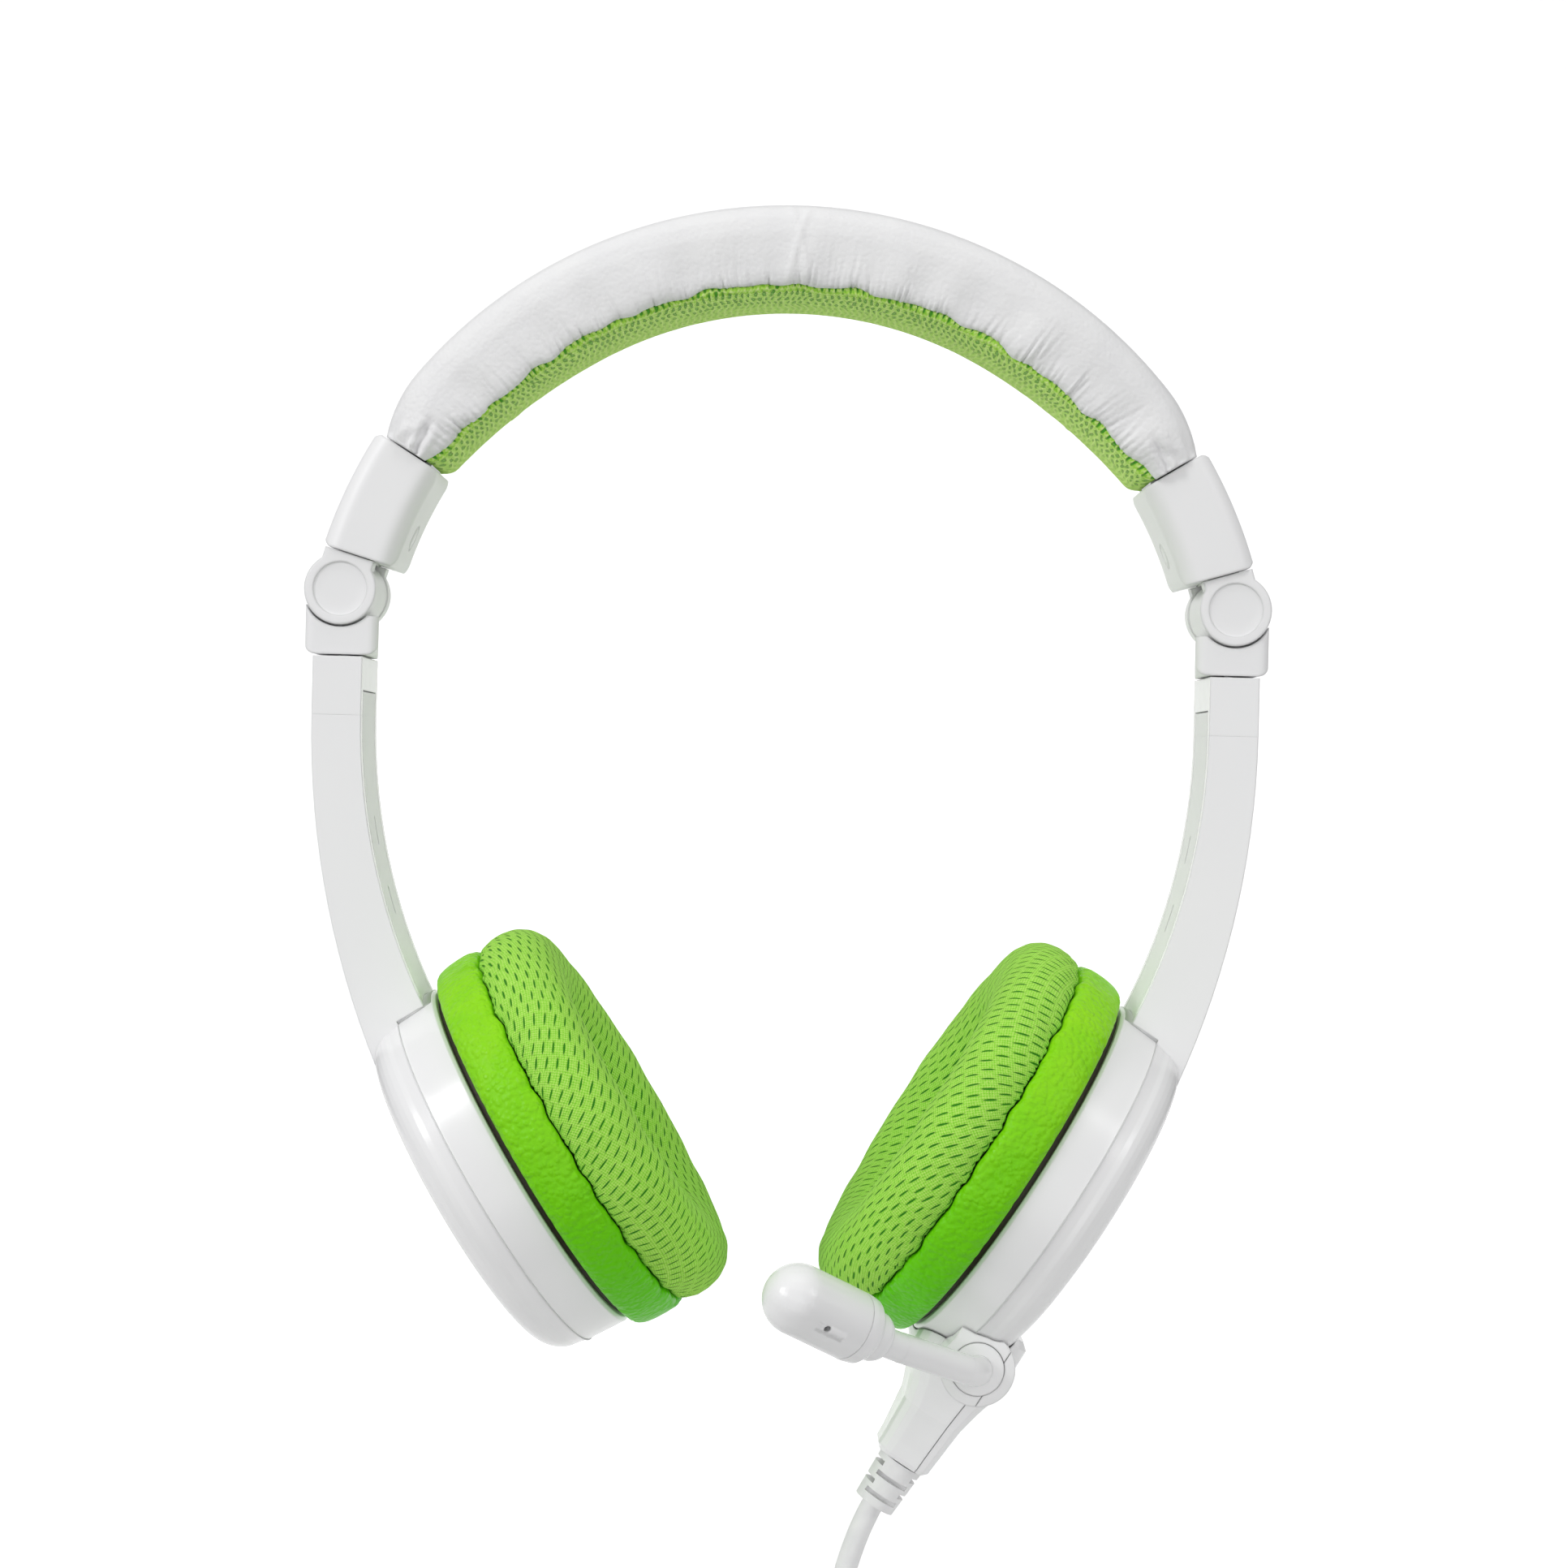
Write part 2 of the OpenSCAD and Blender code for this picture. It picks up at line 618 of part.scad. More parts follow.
module cushion_ring()
    color([0.2, 0.16, 0.1]) in_cup() rotate_extrude()
        polygon([
            [grille_r + 1, 0.5], [baffle_r - 3, 0.5], [baffle_r - 3, -0.8], [baffle_r - 1.7, -0.8], [baffle_r - 1.7, ring_gap + 0.05],
            [baffle_r + 0.6, ring_gap + 0.05], [baffle_r + 0.6, ring_gap + 0.9], [grille_r + 1, ring_gap + 0.9]
        ]);

// Leatherette rim: sides drawn in to the ring below and to the seam above.
module cushion_rim()
    color("limegreen") in_cup() rotate_extrude()
        polygon(concat(
            [[hole_r + 1.4, cushion_base + 1], [baffle_r + 0.8, cushion_base + 1], [baffle_r + 0.8, cushion_base]],
            [[cushion_r - 2.4, cushion_base]],
            arc([cushion_r - 3.2, cushion_base + rim_h * 0.52], 3.2, -48, 40, 6),
            [[cushion_r - 1.2, seam_h - 0.4], [cushion_r - 1.9, seam_h - 0.05], [hole_r + 0.6, seam_h - 0.05]]
        ));

// Knitted face: crowned, with a deeper fall into the hole than at the outside.
module cushion_face()
    color("yellowgreen") in_cup() rotate_extrude()
        polygon(concat(
            [[hole_r + 0.5, seam_h + 0.05], [cushion_r - 1.8, seam_h + 0.05]],
            arc([cushion_r - 4.2, seam_h + 3.2], 4, -36, 20, 4),
            arc([cushion_r - 8.6, crest_h - 7.9], 7.9, 20, 90, 6),
            arc([cushion_r - 11, crest_h - 8.2], 8.2, 96, 160, 6)
        ));

// ---------- microphone lead ----------

// The socket is clamped between the two halves of the cup.
module audio_socket()
    color("dimgray") in_jack() difference() {
        translate([0, 0, cup_r - 15]) cylinder(h = 12.8, r = socket_r);
        translate([0, 0, cup_r - 14.6]) cylinder(h = 16, r = jack_r + 0.05);
    }

module jack_pin()
    color("gold") in_jack() {
        translate([0, 0, cup_r + 1.8 - jack_l]) cylinder(h = jack_l - 1, r = jack_r);
        translate([0, 0, cup_r - 0.3 - jack_l]) cylinder(h = 2.15, r1 = 0.7, r2 = jack_r - 0.1);
        translate([0, 0, cup_r + 0.7]) cylinder(h = 4, r = jack_r + 0.8);
    }

// Outer form of the plug shell: wide where it hugs the cup, narrow at the cable.
// Each section is a rounded rectangle: way down, outer side, inner side, half depth, corner radius.
half_saddle = saddle_depth / 2;
half_end = shell_end_w / 2;
shell_sections = [
    [shell_top, -15.6, -1.2, half_saddle - 1.2, 2], [shell_top + 1, -16.8, 0, half_saddle, 3],
    [cup_r + 1.2, -17.1, -0.6, half_saddle, 3.4], [cup_r + 3.4, -16.8, -2.2, half_saddle - 1.4, 3.3],
    [cup_r + 6, -16.4, -3.5, half_saddle - 3, 3.1], [cup_r + 10, -15.9, -5, half_end + 2.4, 2.7],
    [shell_end - 3, -15.7, -5.7, half_end + 0.5, 2.5], [shell_end - 0.8, -15.6, -5.8, half_end + 0.1, 2.4],
    [shell_end, -14.9, -6.5, half_end - 0.6, 1.8]
];
module shell_form() {
    in_cup() skin([for (s = shell_sections)
        let (n = (s[1] + s[2]) / 2, w = (s[2] - s[1]) / 2 - s[4], d = s[3] - s[4])
        [for (q = [0:3], i = [0:3])
            let (a = 90 * q + 30 * i)
            [-s[0], (q == 0 || q == 1 ? d : -d) + s[4] * sin(a), n + (q == 0 || q == 3 ? w : -w) + s[4] * cos(a)]]
    ]);
    // Boss and shoulder for the boom hub, on the front.
    in_cup() translate([-hub_drop, -hub_front / 2, -hub_back]) front(hub_front) circle(boss_r);
    in_cup() translate([2.4 - hub_drop, -hub_front / 2, 1.2 - hub_back])
        cube([4.6, hub_front, 9], center = true);
}

split_back = 13.3;  // parting plane of the shell behind the ring line

module plug_shell_half(outer)
    difference() {
        intersection() {
            shell_form();
            in_cup() translate([-cup_r, 0, outer ? -split_back - 20.06 : -split_back + 20.06])
                cube([80, 60, 40], center = true);
        }
        cup_form(run, crest_h);
        in_cup() translate([0, 0, ring_gap + 0.1]) cylinder(h = 20, r = cushion_r + 2);
        // Bore of the hub, its stub and the pin's bed.
        in_cup() translate([-hub_drop, -hub_front, -hub_back]) front(2.6) circle(hub_r + 0.1);
        in_cup() translate([-hub_drop, -hub_front + 2, -hub_back]) front(3.2) circle(2.45);
        in_jack() translate([0, 0, cup_r - 2]) cylinder(h = 7, r = jack_r + 0.85);
        in_plug() translate([0, 0, shell_end - 3]) cylinder(h = 6, r = 2.3);
    }

module plug_shell_inner() color("white") plug_shell_half(false);
module plug_shell_outer() color("white") plug_shell_half(true);

module boom_hub()
    color("white") in_cup() {
        translate([-hub_drop, -hub_front - 0.1 + 0.5, -hub_back]) front(1.3) circle(hub_r);
        translate([-hub_drop, -hub_front + 2, -hub_back]) front(2.8) circle(2.4);
    }

hub_face = on_cup(hub_drop, -hub_back) + [0, -hub_front - 0.25, 0];
boom_start = 0.6;
boom_bend = 5;
neck_bend = 40;
neck_turn = 6;

// Frame on the hub: z straight ahead of the wearer, x along the boom as seen from the front.
module in_boom() translate(hub_face) rotate([90, 0, 0]) rotate([0, 0, 180 - boom_rise]) children();
// Bent round piece that starts along z and turns towards x, and the frame at its end.
module bend(r, angle, tube_r)
    translate([r, 0, 0]) rotate([90, 0, 0]) rotate([0, 0, 180 - angle])
        rotate_extrude(angle = angle) translate([r, 0]) circle(tube_r, $fn = 48);
module past_bend(r, angle) translate([r * (1 - cos(angle)), 0, r * sin(angle)]) rotate([0, angle, 0]) children();

lap = 0.2;       // overlap of the straight runs with the bends, which are a hair thinner
module boom_tube()
    color("white") in_boom() {
        cylinder(h = boom_start + lap, r = boom_r, $fn = 48);
        translate([0, 0, boom_start]) {
            bend(boom_bend, boom_turn, boom_r - 0.03);
            past_bend(boom_bend, boom_turn) {
                translate([0, 0, -lap]) cylinder(h = boom_l + 2 * lap, r = boom_r, $fn = 48);
                translate([0, 0, boom_l]) rotate([0, 0, -90]) {
                    bend(neck_bend, neck_turn, boom_r - 0.03);
                    past_bend(neck_bend, neck_turn)
                        translate([0, 0, -lap]) cylinder(h = 2 + lap, r = boom_r, $fn = 48);
                }
            }
        }
    }

// Frame at the near end of the capsule, z along it.
module in_capsule()
    in_boom() translate([0, 0, boom_start]) past_bend(boom_bend, boom_turn)
        translate([0, 0, boom_l]) rotate([0, 0, -90]) past_bend(neck_bend, neck_turn) children();

cap_l = collar_l + 3.2;

module capsule_cap()
    color("white") in_capsule() rotate_extrude()
        polygon([
            [boom_r + 0.05, 0.3], [boom_r + 0.9, 0], [mic_r - 1.9, 0.5], [mic_r - 1.6, 1.2], [mic_r - 1.6, collar_l - 0.2],
            [mic_r - 0.9, collar_l], [mic_r - 0.2, collar_l + 0.9], [mic_r, collar_l + 2.2], [mic_r, cap_l],
            [mic_r - 1.2, cap_l], [mic_r - 1.2, cap_l - 1.6], [boom_r + 0.05, cap_l - 2.4]
        ]);

module capsule_shell()
    color("white") in_capsule() difference() {
        rotate_extrude() polygon(concat(
            [[mic_r - 1.2, cap_l + 0.05], [mic_r, cap_l + 0.05]],
            arc([0, mic_l - mic_r], mic_r, 0, 90, 12),
            arc([0, mic_l - mic_r], mic_r - 1.2, 90, 0, 12)
        ));
        // Sound port.
        translate([0, 0, mic_l - 9.2]) rotate([0, 0, -42]) rotate([0, 90, 0]) cylinder(h = mic_r + 1, r = 0.55, $fn = 24);
    }

module mic_element()
    color("silver") in_capsule() translate([0, 0, mic_l - 12]) cylinder(h = 5, r = mic_r - 1.3);

// ---------- cable ----------

module strain_relief()
    color("white") in_plug() translate([0, 0, shell_end + run]) difference() {
        union() {
            cylinder(h = relief_l, r1 = shell_end_w / 2 - 1.2, r2 = shell_end_w / 2 - 1.6);
            translate([0, 0, -3]) cylinder(h = 3.01, r = 2.25);
        }
        // Slots from the sides and from front and back in turn.
        for (i = [0:3], side = [-1, 1])
            rotate([0, 0, i % 2 == 0 ? 0 : 90])
                translate([side * (2.6 + 1.2), 0, 1.5 + i * relief_l / 5]) cube([4, 5.6, relief_l / 10], center = true);
    }

// Cable: out of the strain relief, round to hang straight down, to the coil's outer turn.
cable_from = on_cup(relief_end, -plug_back);
cable_route = [
    cable_from, cable_from + 3 * down_way,
    for (p = [[2.2, 5.56], [4.02, 10.76], [5.42, 15.86], [6.52, 20.86], [7.32, 25.76], [7.82, 30.66],
              [8.02, 35.46], [8.02, 41.46], [8.02, 47.46], [8.02, 53.46]]) cable_from - [p[0], 0, p[1]]
];
coil_start = cable_route[len(cable_route) - 1];
coil_pitch = cable_d + 0.45;
coil_in_r = coil_r - coil_pitch * layer_turns;
coil_mid = coil_start - [coil_r, 0, 0];
loop_rings = 24;
coil_turns = 2 * layer_turns;

// Radius and layer of the winding after u turns: in on the front layer, out again on the back one.
function coil_radius(u) = u < layer_turns ? coil_r - coil_pitch * u : coil_in_r + coil_pitch * (u - layer_turns);
function climb(u) = let (s = min(1, max(0, (u - layer_turns) * 2 + 0.5))) s * s * (3 - 2 * s);
function coil_point(u) = coil_mid + [
    coil_radius(u) * cos(360 * u), coil_pitch * climb(u), -coil_radius(u) * sin(360 * u)
];
coil_route = concat(
    [coil_start],
    [for (i = [1:coil_turns * loop_rings - 1]) coil_point(i / loop_rings) - [0, 0, cable_d]],
    [coil_point(coil_turns) - [0, 0, cable_d], coil_point(coil_turns) - [0, 0, 2 * cable_d]]
);

// A round tube along a route. Each ring stands square to the run on both sides of its point.
function unit(v) = v / norm(v);
function along(route, i) =
    unit(route[min(i + 1, len(route) - 1)] - route[max(i - 1, 0)]);
module tube(route, r, sides, first, last_way)
    skin([for (i = [0:len(route) - 1])
        let (
            t = i == 0 ? first : i == len(route) - 1 ? last_way : along(route, i),
            a = unit(cross(t, [0, 1, 0])),
            b = cross(a, t)
        )
        [for (k = [0:sides - 1]) route[i] + r * (a * cos(360 * k / sides) - b * sin(360 * k / sides))]
    ]);

module cable() color("white") tube(cable_route, cable_r, 8, down_way, [0, 0, -1]);
module cable_coil() color("white") tube(coil_route, cable_r, 6, [0, 0, -1], [0, 0, -1]);

// Least gap between two turns of the coil, centre distances less the cable's diameter.
coil_gap = min([for (i = [0:len(coil_route) - 1], j = [i + loop_rings / 2:len(coil_route) - 1])
    norm(coil_route[i] - coil_route[j])]) - cable_d;
echo(coil_gap = coil_gap);
function length_of(route) = len(route) < 2 ? 0 : [for (i = 0, s = 0; i < len(route); s = s + (i + 1 < len(route)
    ? norm(route[i + 1] - route[i]) : 0), i = i + 1) s][len(route) - 1];
echo(cable_length = length_of(cable_route) + length_of(coil_route));

module coil_tie()
    color("white") translate(coil_mid - [(coil_r + coil_in_r) / 2, -coil_pitch / 2, cable_d])
        difference() {
            cube([coil_pitch * layer_turns + 4.6, coil_pitch + cable_d + 3, 6], center = true);
            cube([coil_pitch * layer_turns + 2.6, coil_pitch + cable_d + 1, 7], center = true);
        }

plug_from = coil_route[len(coil_route) - 1];
grip_end = 29.5;  // from the cable's end to the end of the far plug
pin_wall = 11.6;  // straight part of its pin

module far_plug()
    color("white") translate(plug_from) rotate([180, 0, 0]) {
        cylinder(h = 10.01, r1 = 2.3, r2 = 2.9);
        translate([0, 0, 10]) cylinder(h = 3.01, r1 = 2.9, r2 = grip_r);
        translate([0, 0, 13]) cylinder(h = grip_end - 14.5, r = grip_r);
        translate([0, 0, grip_end - 1.51]) cylinder(h = 1.51, r1 = grip_r, r2 = grip_r - 0.9);
    }

module far_pin()
    color("gold") translate(plug_from - [0, 0, grip_end + 0.1]) rotate([180, 0, 0]) {
        cylinder(h = pin_wall, r = jack_r);
        translate([0, 0, pin_wall - 0.01]) cylinder(h = 0.9, r = jack_r - 0.35);
        translate([0, 0, pin_wall + 0.8]) cylinder(h = 1.6, r1 = jack_r, r2 = 0.6);
    }

// ---------- the set ----------

band_spring();
band_pad();
band_cover();
left() sleeve();  // left_sleeve
sleeve();  // right_sleeve
left() sleeve_screw();  // left_sleeve_screw
sleeve_screw();  // right_sleeve_screw
left() knuckle();  // left_knuckle
knuckle();  // right_knuckle
left() hinge_pin();  // left_hinge_pin
hinge_pin();  // right_hinge_pin
left() hinge_caps();  // left_hinge_caps
hinge_caps();  // right_hinge_caps
left() bracket();  // left_bracket
bracket();  // right_bracket
left() size_strip();  // left_size_strip
size_strip();  // right_size_strip
left() arm_shell();  // left_arm_shell
arm_shell(true);  // right_arm_shell
left() arm_cover();  // left_arm_cover
arm_cover();  // right_arm_cover
left() cup_housing();  // left_cup_housing
cup_housing(true);  // right_cup_housing
left() cup_screws();  // left_cup_screws
cup_screws();  // right_cup_screws
left() baffle();  // left_baffle
baffle();  // right_baffle
left() driver_frame();  // left_driver_frame
driver_frame();  // right_driver_frame
left() driver_magnet();  // left_driver_magnet
driver_magnet();  // right_driver_magnet
left() driver_diaphragm();  // left_driver_diaphragm
driver_diaphragm();  // right_driver_diaphragm
left() ear_grille();  // left_ear_grille
ear_grille();  // right_ear_grille
left() cushion_ring();  // left_cushion_ring
cushion_ring();  // right_cushion_ring
left() cushion_rim();  // left_cushion_rim
cushion_rim();  // right_cushion_rim
left() cushion_face();  // left_cushion_face
cushion_face();  // right_cushion_face
audio_socket();
jack_pin();
plug_shell_inner();
plug_shell_outer();
boom_hub();
boom_tube();
capsule_cap();
capsule_shell();
mic_element();
strain_relief();
cable();
cable_coil();
coil_tie();
far_plug();
far_pin();
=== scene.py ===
"""Children's on-ear headset: white leatherette band over a green knitted pad, folding white arms,
tilted round cups with lime cushions, and a plug-in lead with a swivelling microphone boom.
Metres in the model's frame; +X the side with the microphone, -Y the front."""
import functools
import math

import bmesh
import bpy
import numpy as np
from mathutils import Matrix, Vector


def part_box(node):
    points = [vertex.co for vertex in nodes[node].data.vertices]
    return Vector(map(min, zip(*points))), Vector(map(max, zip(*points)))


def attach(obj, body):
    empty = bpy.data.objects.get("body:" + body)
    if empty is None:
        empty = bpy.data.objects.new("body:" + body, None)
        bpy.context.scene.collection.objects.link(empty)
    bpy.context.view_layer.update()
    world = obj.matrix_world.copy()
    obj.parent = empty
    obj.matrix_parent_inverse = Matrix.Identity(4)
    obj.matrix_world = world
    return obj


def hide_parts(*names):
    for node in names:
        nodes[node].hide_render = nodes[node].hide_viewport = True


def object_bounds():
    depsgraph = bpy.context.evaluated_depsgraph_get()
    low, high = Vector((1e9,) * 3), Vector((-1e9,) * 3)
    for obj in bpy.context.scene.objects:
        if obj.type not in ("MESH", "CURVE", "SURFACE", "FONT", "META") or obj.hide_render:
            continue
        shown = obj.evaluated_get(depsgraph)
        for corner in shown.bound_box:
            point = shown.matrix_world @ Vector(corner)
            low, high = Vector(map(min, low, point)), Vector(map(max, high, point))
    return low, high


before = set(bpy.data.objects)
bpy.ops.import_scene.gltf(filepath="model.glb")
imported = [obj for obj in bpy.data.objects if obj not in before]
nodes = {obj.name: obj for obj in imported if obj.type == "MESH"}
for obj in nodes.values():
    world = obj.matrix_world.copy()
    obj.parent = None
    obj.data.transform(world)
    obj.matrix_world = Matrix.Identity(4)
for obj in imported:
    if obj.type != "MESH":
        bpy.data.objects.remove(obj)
cad_box = [list(v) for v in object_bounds()]
rng = np.random.default_rng(7)

# ---------- sizes of the headset, in millimetres ----------

MM = 0.001
BAND_R = 65.3  # underside of the head pad
BAND_HALF = 58.3  # degrees from the crown to either end of the padding
BAND_HEIGHT = 14.8
HALF_DEPTH = 13.25  # of the padding, at the crown
COVER_R = BAND_R + 2  # where lengths along the cover are measured
SLEEVE_IN = 66.7  # from the band's centre to the inner side of a sleeve
SCREW_AT = 68.2  # degrees from the crown to the screw in a sleeve
ARM_DEPTH = 19.0
CUP_TILT = math.radians(32)
CUP_R = 31.3
CUP_X, CUP_Z = 39.796, -141.227
SEAM_R = 32.5  # where lengths round a cushion are measured
SEAM_ROUND = 2 * math.pi * SEAM_R
PLUG_BACK = 11.2  # from the front of the cup back to the axis of the plug
RELIEF_END = 59.4  # from the axis of the cup to the end of the strain relief
CABLE_D = 3.7
COIL_R = 30.0
COIL_PITCH = CABLE_D + 0.45
LAYER_TURNS = 4
SIDES = ((-1, "left"), (1, "right"))


def smooth(x, lo, hi):
    """0 below lo, 1 above hi, and an even rise between them."""
    s = np.clip((np.asarray(x, float) - lo) / (hi - lo), 0, 1)
    return s * s * (3 - 2 * s)


def bell(x, width=1.0):
    """1 at 0, falling off evenly on both sides."""
    return np.exp(-((x / width) ** 2))


def wave(along, pieces):
    """A sum of waves, as (length, height, phase)."""
    return sum(h * np.sin(2 * math.pi * along / length + ph) for length, h, ph in pieces)


# ---------- camera ----------

CAMERA_AT = (0, -0.5, -0.0795)
CAMERA_ROLL = -1.4  # degrees
CAMERA_LENS, CAMERA_SENSOR = 69.63, 36

bpy.ops.object.camera_add(
    location=CAMERA_AT, rotation=(math.radians(90), math.radians(CAMERA_ROLL), 0)
)
camera = bpy.context.object
camera.name = "camera"
camera.data.sensor_width = CAMERA_SENSOR
camera.data.lens = CAMERA_LENS
camera.data.clip_start = 0.01
bpy.context.scene.camera = camera

# ---------- shader nodes ----------


def colour(code):
    """A linear colour from an sRGB hex value."""
    parts = [int(code[i : i + 2], 16) / 255 for i in (1, 3, 5)]
    return tuple(c / 12.92 if c <= 0.04045 else ((c + 0.055) / 1.055) ** 2.4 for c in parts) + (1,)


def add(material, kind, settings=None, sockets=None):
    """Adds a node: settings are its own, sockets are values or other nodes' outputs by socket
    name or number."""
    made = material.node_tree.nodes.new("ShaderNode" + kind)
    for name, value in (settings or {}).items():
        setattr(made, name, value)
    for name, value in (sockets or {}).items():
        socket = made.inputs[name]
        if isinstance(value, bpy.types.NodeSocket):
            material.node_tree.links.new(value, socket)
        else:
            socket.default_value = value
    return made


def new_material(name, **surface):
    """An empty procedural material and its Principled shader with constants set on the shader."""
    material = bpy.data.materials.new(name)
    material.use_nodes = True
    shader = material.node_tree.nodes["Principled BSDF"]
    for key, value in surface.items():
        shader.inputs[key.replace("_", " ")].default_value = value
    return material, shader


def dress(material, shader, **outputs):
    """Feeds the shader's sockets from other nodes' outputs."""
    for key, output in outputs.items():
        material.node_tree.links.new(output, shader.inputs[key.replace("_", " ")])


def own_place(material):
    """The shaded point in metres of the piece."""
    return add(material, "TexCoord").outputs["Object"]


def split(material, vector):
    """The three parts of a vector."""
    return add(material, "SeparateXYZ", {}, {0: vector}).outputs


def maths(material, operation, a, b=0.0, c=0.0):
    """One step of arithmetic; returns its output."""
    return add(material, "Math", {"operation": operation}, {0: a, 1: b, 2: c}).outputs[0]


def carry(material, value, low, high, at_low=0.0, at_high=1.0, eased=False):
    """A value carried from the span low..high to the span at_low..at_high."""
    kind = "SMOOTHSTEP" if eased else "LINEAR"
    sockets = {"Value": value, 1: low, 2: high, 3: at_low, 4: at_high}
    return add(material, "MapRange", {"interpolation_type": kind}, sockets).outputs[0]


def shifted(material, place, noise, amount):
    """A place moved by up to so much along each axis of a noise's colour."""
    sockets = {0: noise, 1: (amount,) * 3, 2: place}
    return add(material, "VectorMath", {"operation": "MULTIPLY_ADD"}, sockets).outputs[0]


def mixed(material, share, first, second):
    """Two colours mixed by a share of the second."""
    return add(material, "Mix", {"data_type": "RGBA"}, {0: share, 6: first, 7: second}).outputs[2]


def grain_noise(material, place, scale, detail=3.0, rough=0.5, distortion=0.0):
    """Noise of so many features per metre of the piece."""
    sockets = {
        "Vector": place, "Scale": scale, "Detail": detail, "Roughness": rough,
        "Distortion": distortion,
    }
    return add(material, "TexNoise", {}, sockets).outputs["Fac"]


def ramp(material, value, stops):
    """Colours along a value, as (place, hex) pairs."""
    made = add(material, "ValToRGB", {}, {0: value})
    scale = made.color_ramp
    while len(scale.elements) < len(stops):
        scale.elements.new(0.5)
    for element, (at, code) in zip(scale.elements, stops):
        element.position = at
        element.color = colour(code)
    return made.outputs["Color"]


def bump(material, height, strength, distance, normal=None):
    """Relief of so many metres from a height between 0 and 1."""
    sockets = {"Height": height, "Strength": strength, "Distance": distance}
    if normal is not None:
        sockets["Normal"] = normal
    return add(material, "Bump", {}, sockets).outputs["Normal"]


# ---------- materials ----------

UV_TO_MM = 100.0  # a piece's cloth map is in steps of 100 mm
PAINTED_SHADE_FROM, PAINTED_SHADE_TO = -0.108, -0.17  # heights between which the painted shade grows deeper towards the bottom, in metres


def white_moulding(name, light, shade, roughness, edge=0.0004):
    """Injection-moulded ABS. Mirror-smooth with a faint waviness from the mould, so highlights
    have soft, slightly uneven edges; its sharp corners are broken by a hair, edge metres wide."""
    material, shader = new_material(name, Roughness=roughness, IOR=1.53)
    place = own_place(material)
    cloudy = grain_noise(material, place, 18, 2)
    fine = grain_noise(material, place, 260, 2)
    corner = add(material, "Bevel", {"samples": 6}, {"Radius": edge}).outputs["Normal"]
    dress(
        material, shader,
        Base_Color=ramp(material, cloudy, [(0.3, shade), (0.7, light)]),
        Roughness=maths(material, "MULTIPLY_ADD", fine, 0.1, roughness - 0.05),
        Normal=bump(material, fine, 0.5, 0.00001, corner),
    )
    return material


def plain_moulding(name, light, shade, roughness, grain=1500.0, depth=0.00003):
    """Matt moulding with a fine spark-eroded grain of about 0.7 mm, which breaks up the
    highlights. grain is in features per metre, depth in metres."""
    material, shader = new_material(name, Roughness=roughness, IOR=1.5)
    fine = grain_noise(material, own_place(material), grain, 3)
    dress(
        material, shader,
        Base_Color=ramp(material, fine, [(0.3, shade), (0.7, light)]),
        Normal=bump(material, fine, 0.5, depth),
    )
    return material


def metal(name, light, shade, roughness):
    """Drawn or plated metal, with fine drawing marks along its length."""
    material, shader = new_material(name, Roughness=roughness, Metallic=1.0)
    sockets = {"Vector": own_place(material), "Scale": (1, 1, 0.04)}
    stretched = add(material, "Mapping", {}, sockets).outputs[0]
    marks = grain_noise(material, stretched, 900, 4)
    dress(
        material, shader,
        Base_Color=ramp(material, marks, [(0.3, shade), (0.7, light)]),
        Roughness=maths(material, "MULTIPLY_ADD", marks, 0.16, roughness - 0.08),
        Normal=bump(material, marks, 0.3, 0.00001),
    )
    return material


def leatherette(name, light, shade, pore, pore_depth, crease, crease_depth, roughness, low=None):
    """Coated fabric with an embossed grain: rounded pebbles, finer than a millimetre, with matt
    valleys. pore is the size of a pebble and crease that of the soft wrinkles that handling
    leaves, in metres like their depths. low is a darker colour painted towards the foot of the
    piece as painted shade, where less light falls."""
    material, shader = new_material(name, Roughness=roughness, IOR=1.3)
    place = own_place(material)
    bend = grain_noise(material, place, 1 / crease, 4, 0.6, 0.4)
    noise = add(material, "TexNoise", {}, {"Vector": place, "Scale": 0.6 / pore})
    warp = shifted(material, place, noise.outputs["Color"], pore * 0.6)
    sockets = {"Vector": warp, "Scale": 1 / pore, "Smoothness": 0.6}
    pebble = add(material, "TexVoronoi", {"feature": "SMOOTH_F1"}, sockets).outputs["Distance"]
    valley = carry(material, pebble, 0.25, 0.75)
    tone = ramp(material, bend, [(0.25, shade), (0.75, light)])
    # Painted shade: the colour is mixed towards the low colour with falling height, so the foot of
    # the piece is drawn darker as if less light reached it.
    if low:
        height = split(material, place)[2]
        painted_shade_share = carry(material, height, PAINTED_SHADE_FROM, PAINTED_SHADE_TO, eased=True)
        tone = mixed(material, painted_shade_share, tone, colour(low))
    wrinkles = bump(material, bend, 0.6, crease_depth)
    hills = maths(material, "SUBTRACT", 1.0, valley)
    dress(
        material, shader,
        Base_Color=tone,
        Roughness=maths(material, "MULTIPLY_ADD", valley, 0.14, roughness - 0.04),
        Normal=bump(material, hills, 0.8, pore_depth, wrinkles),
    )
    return material


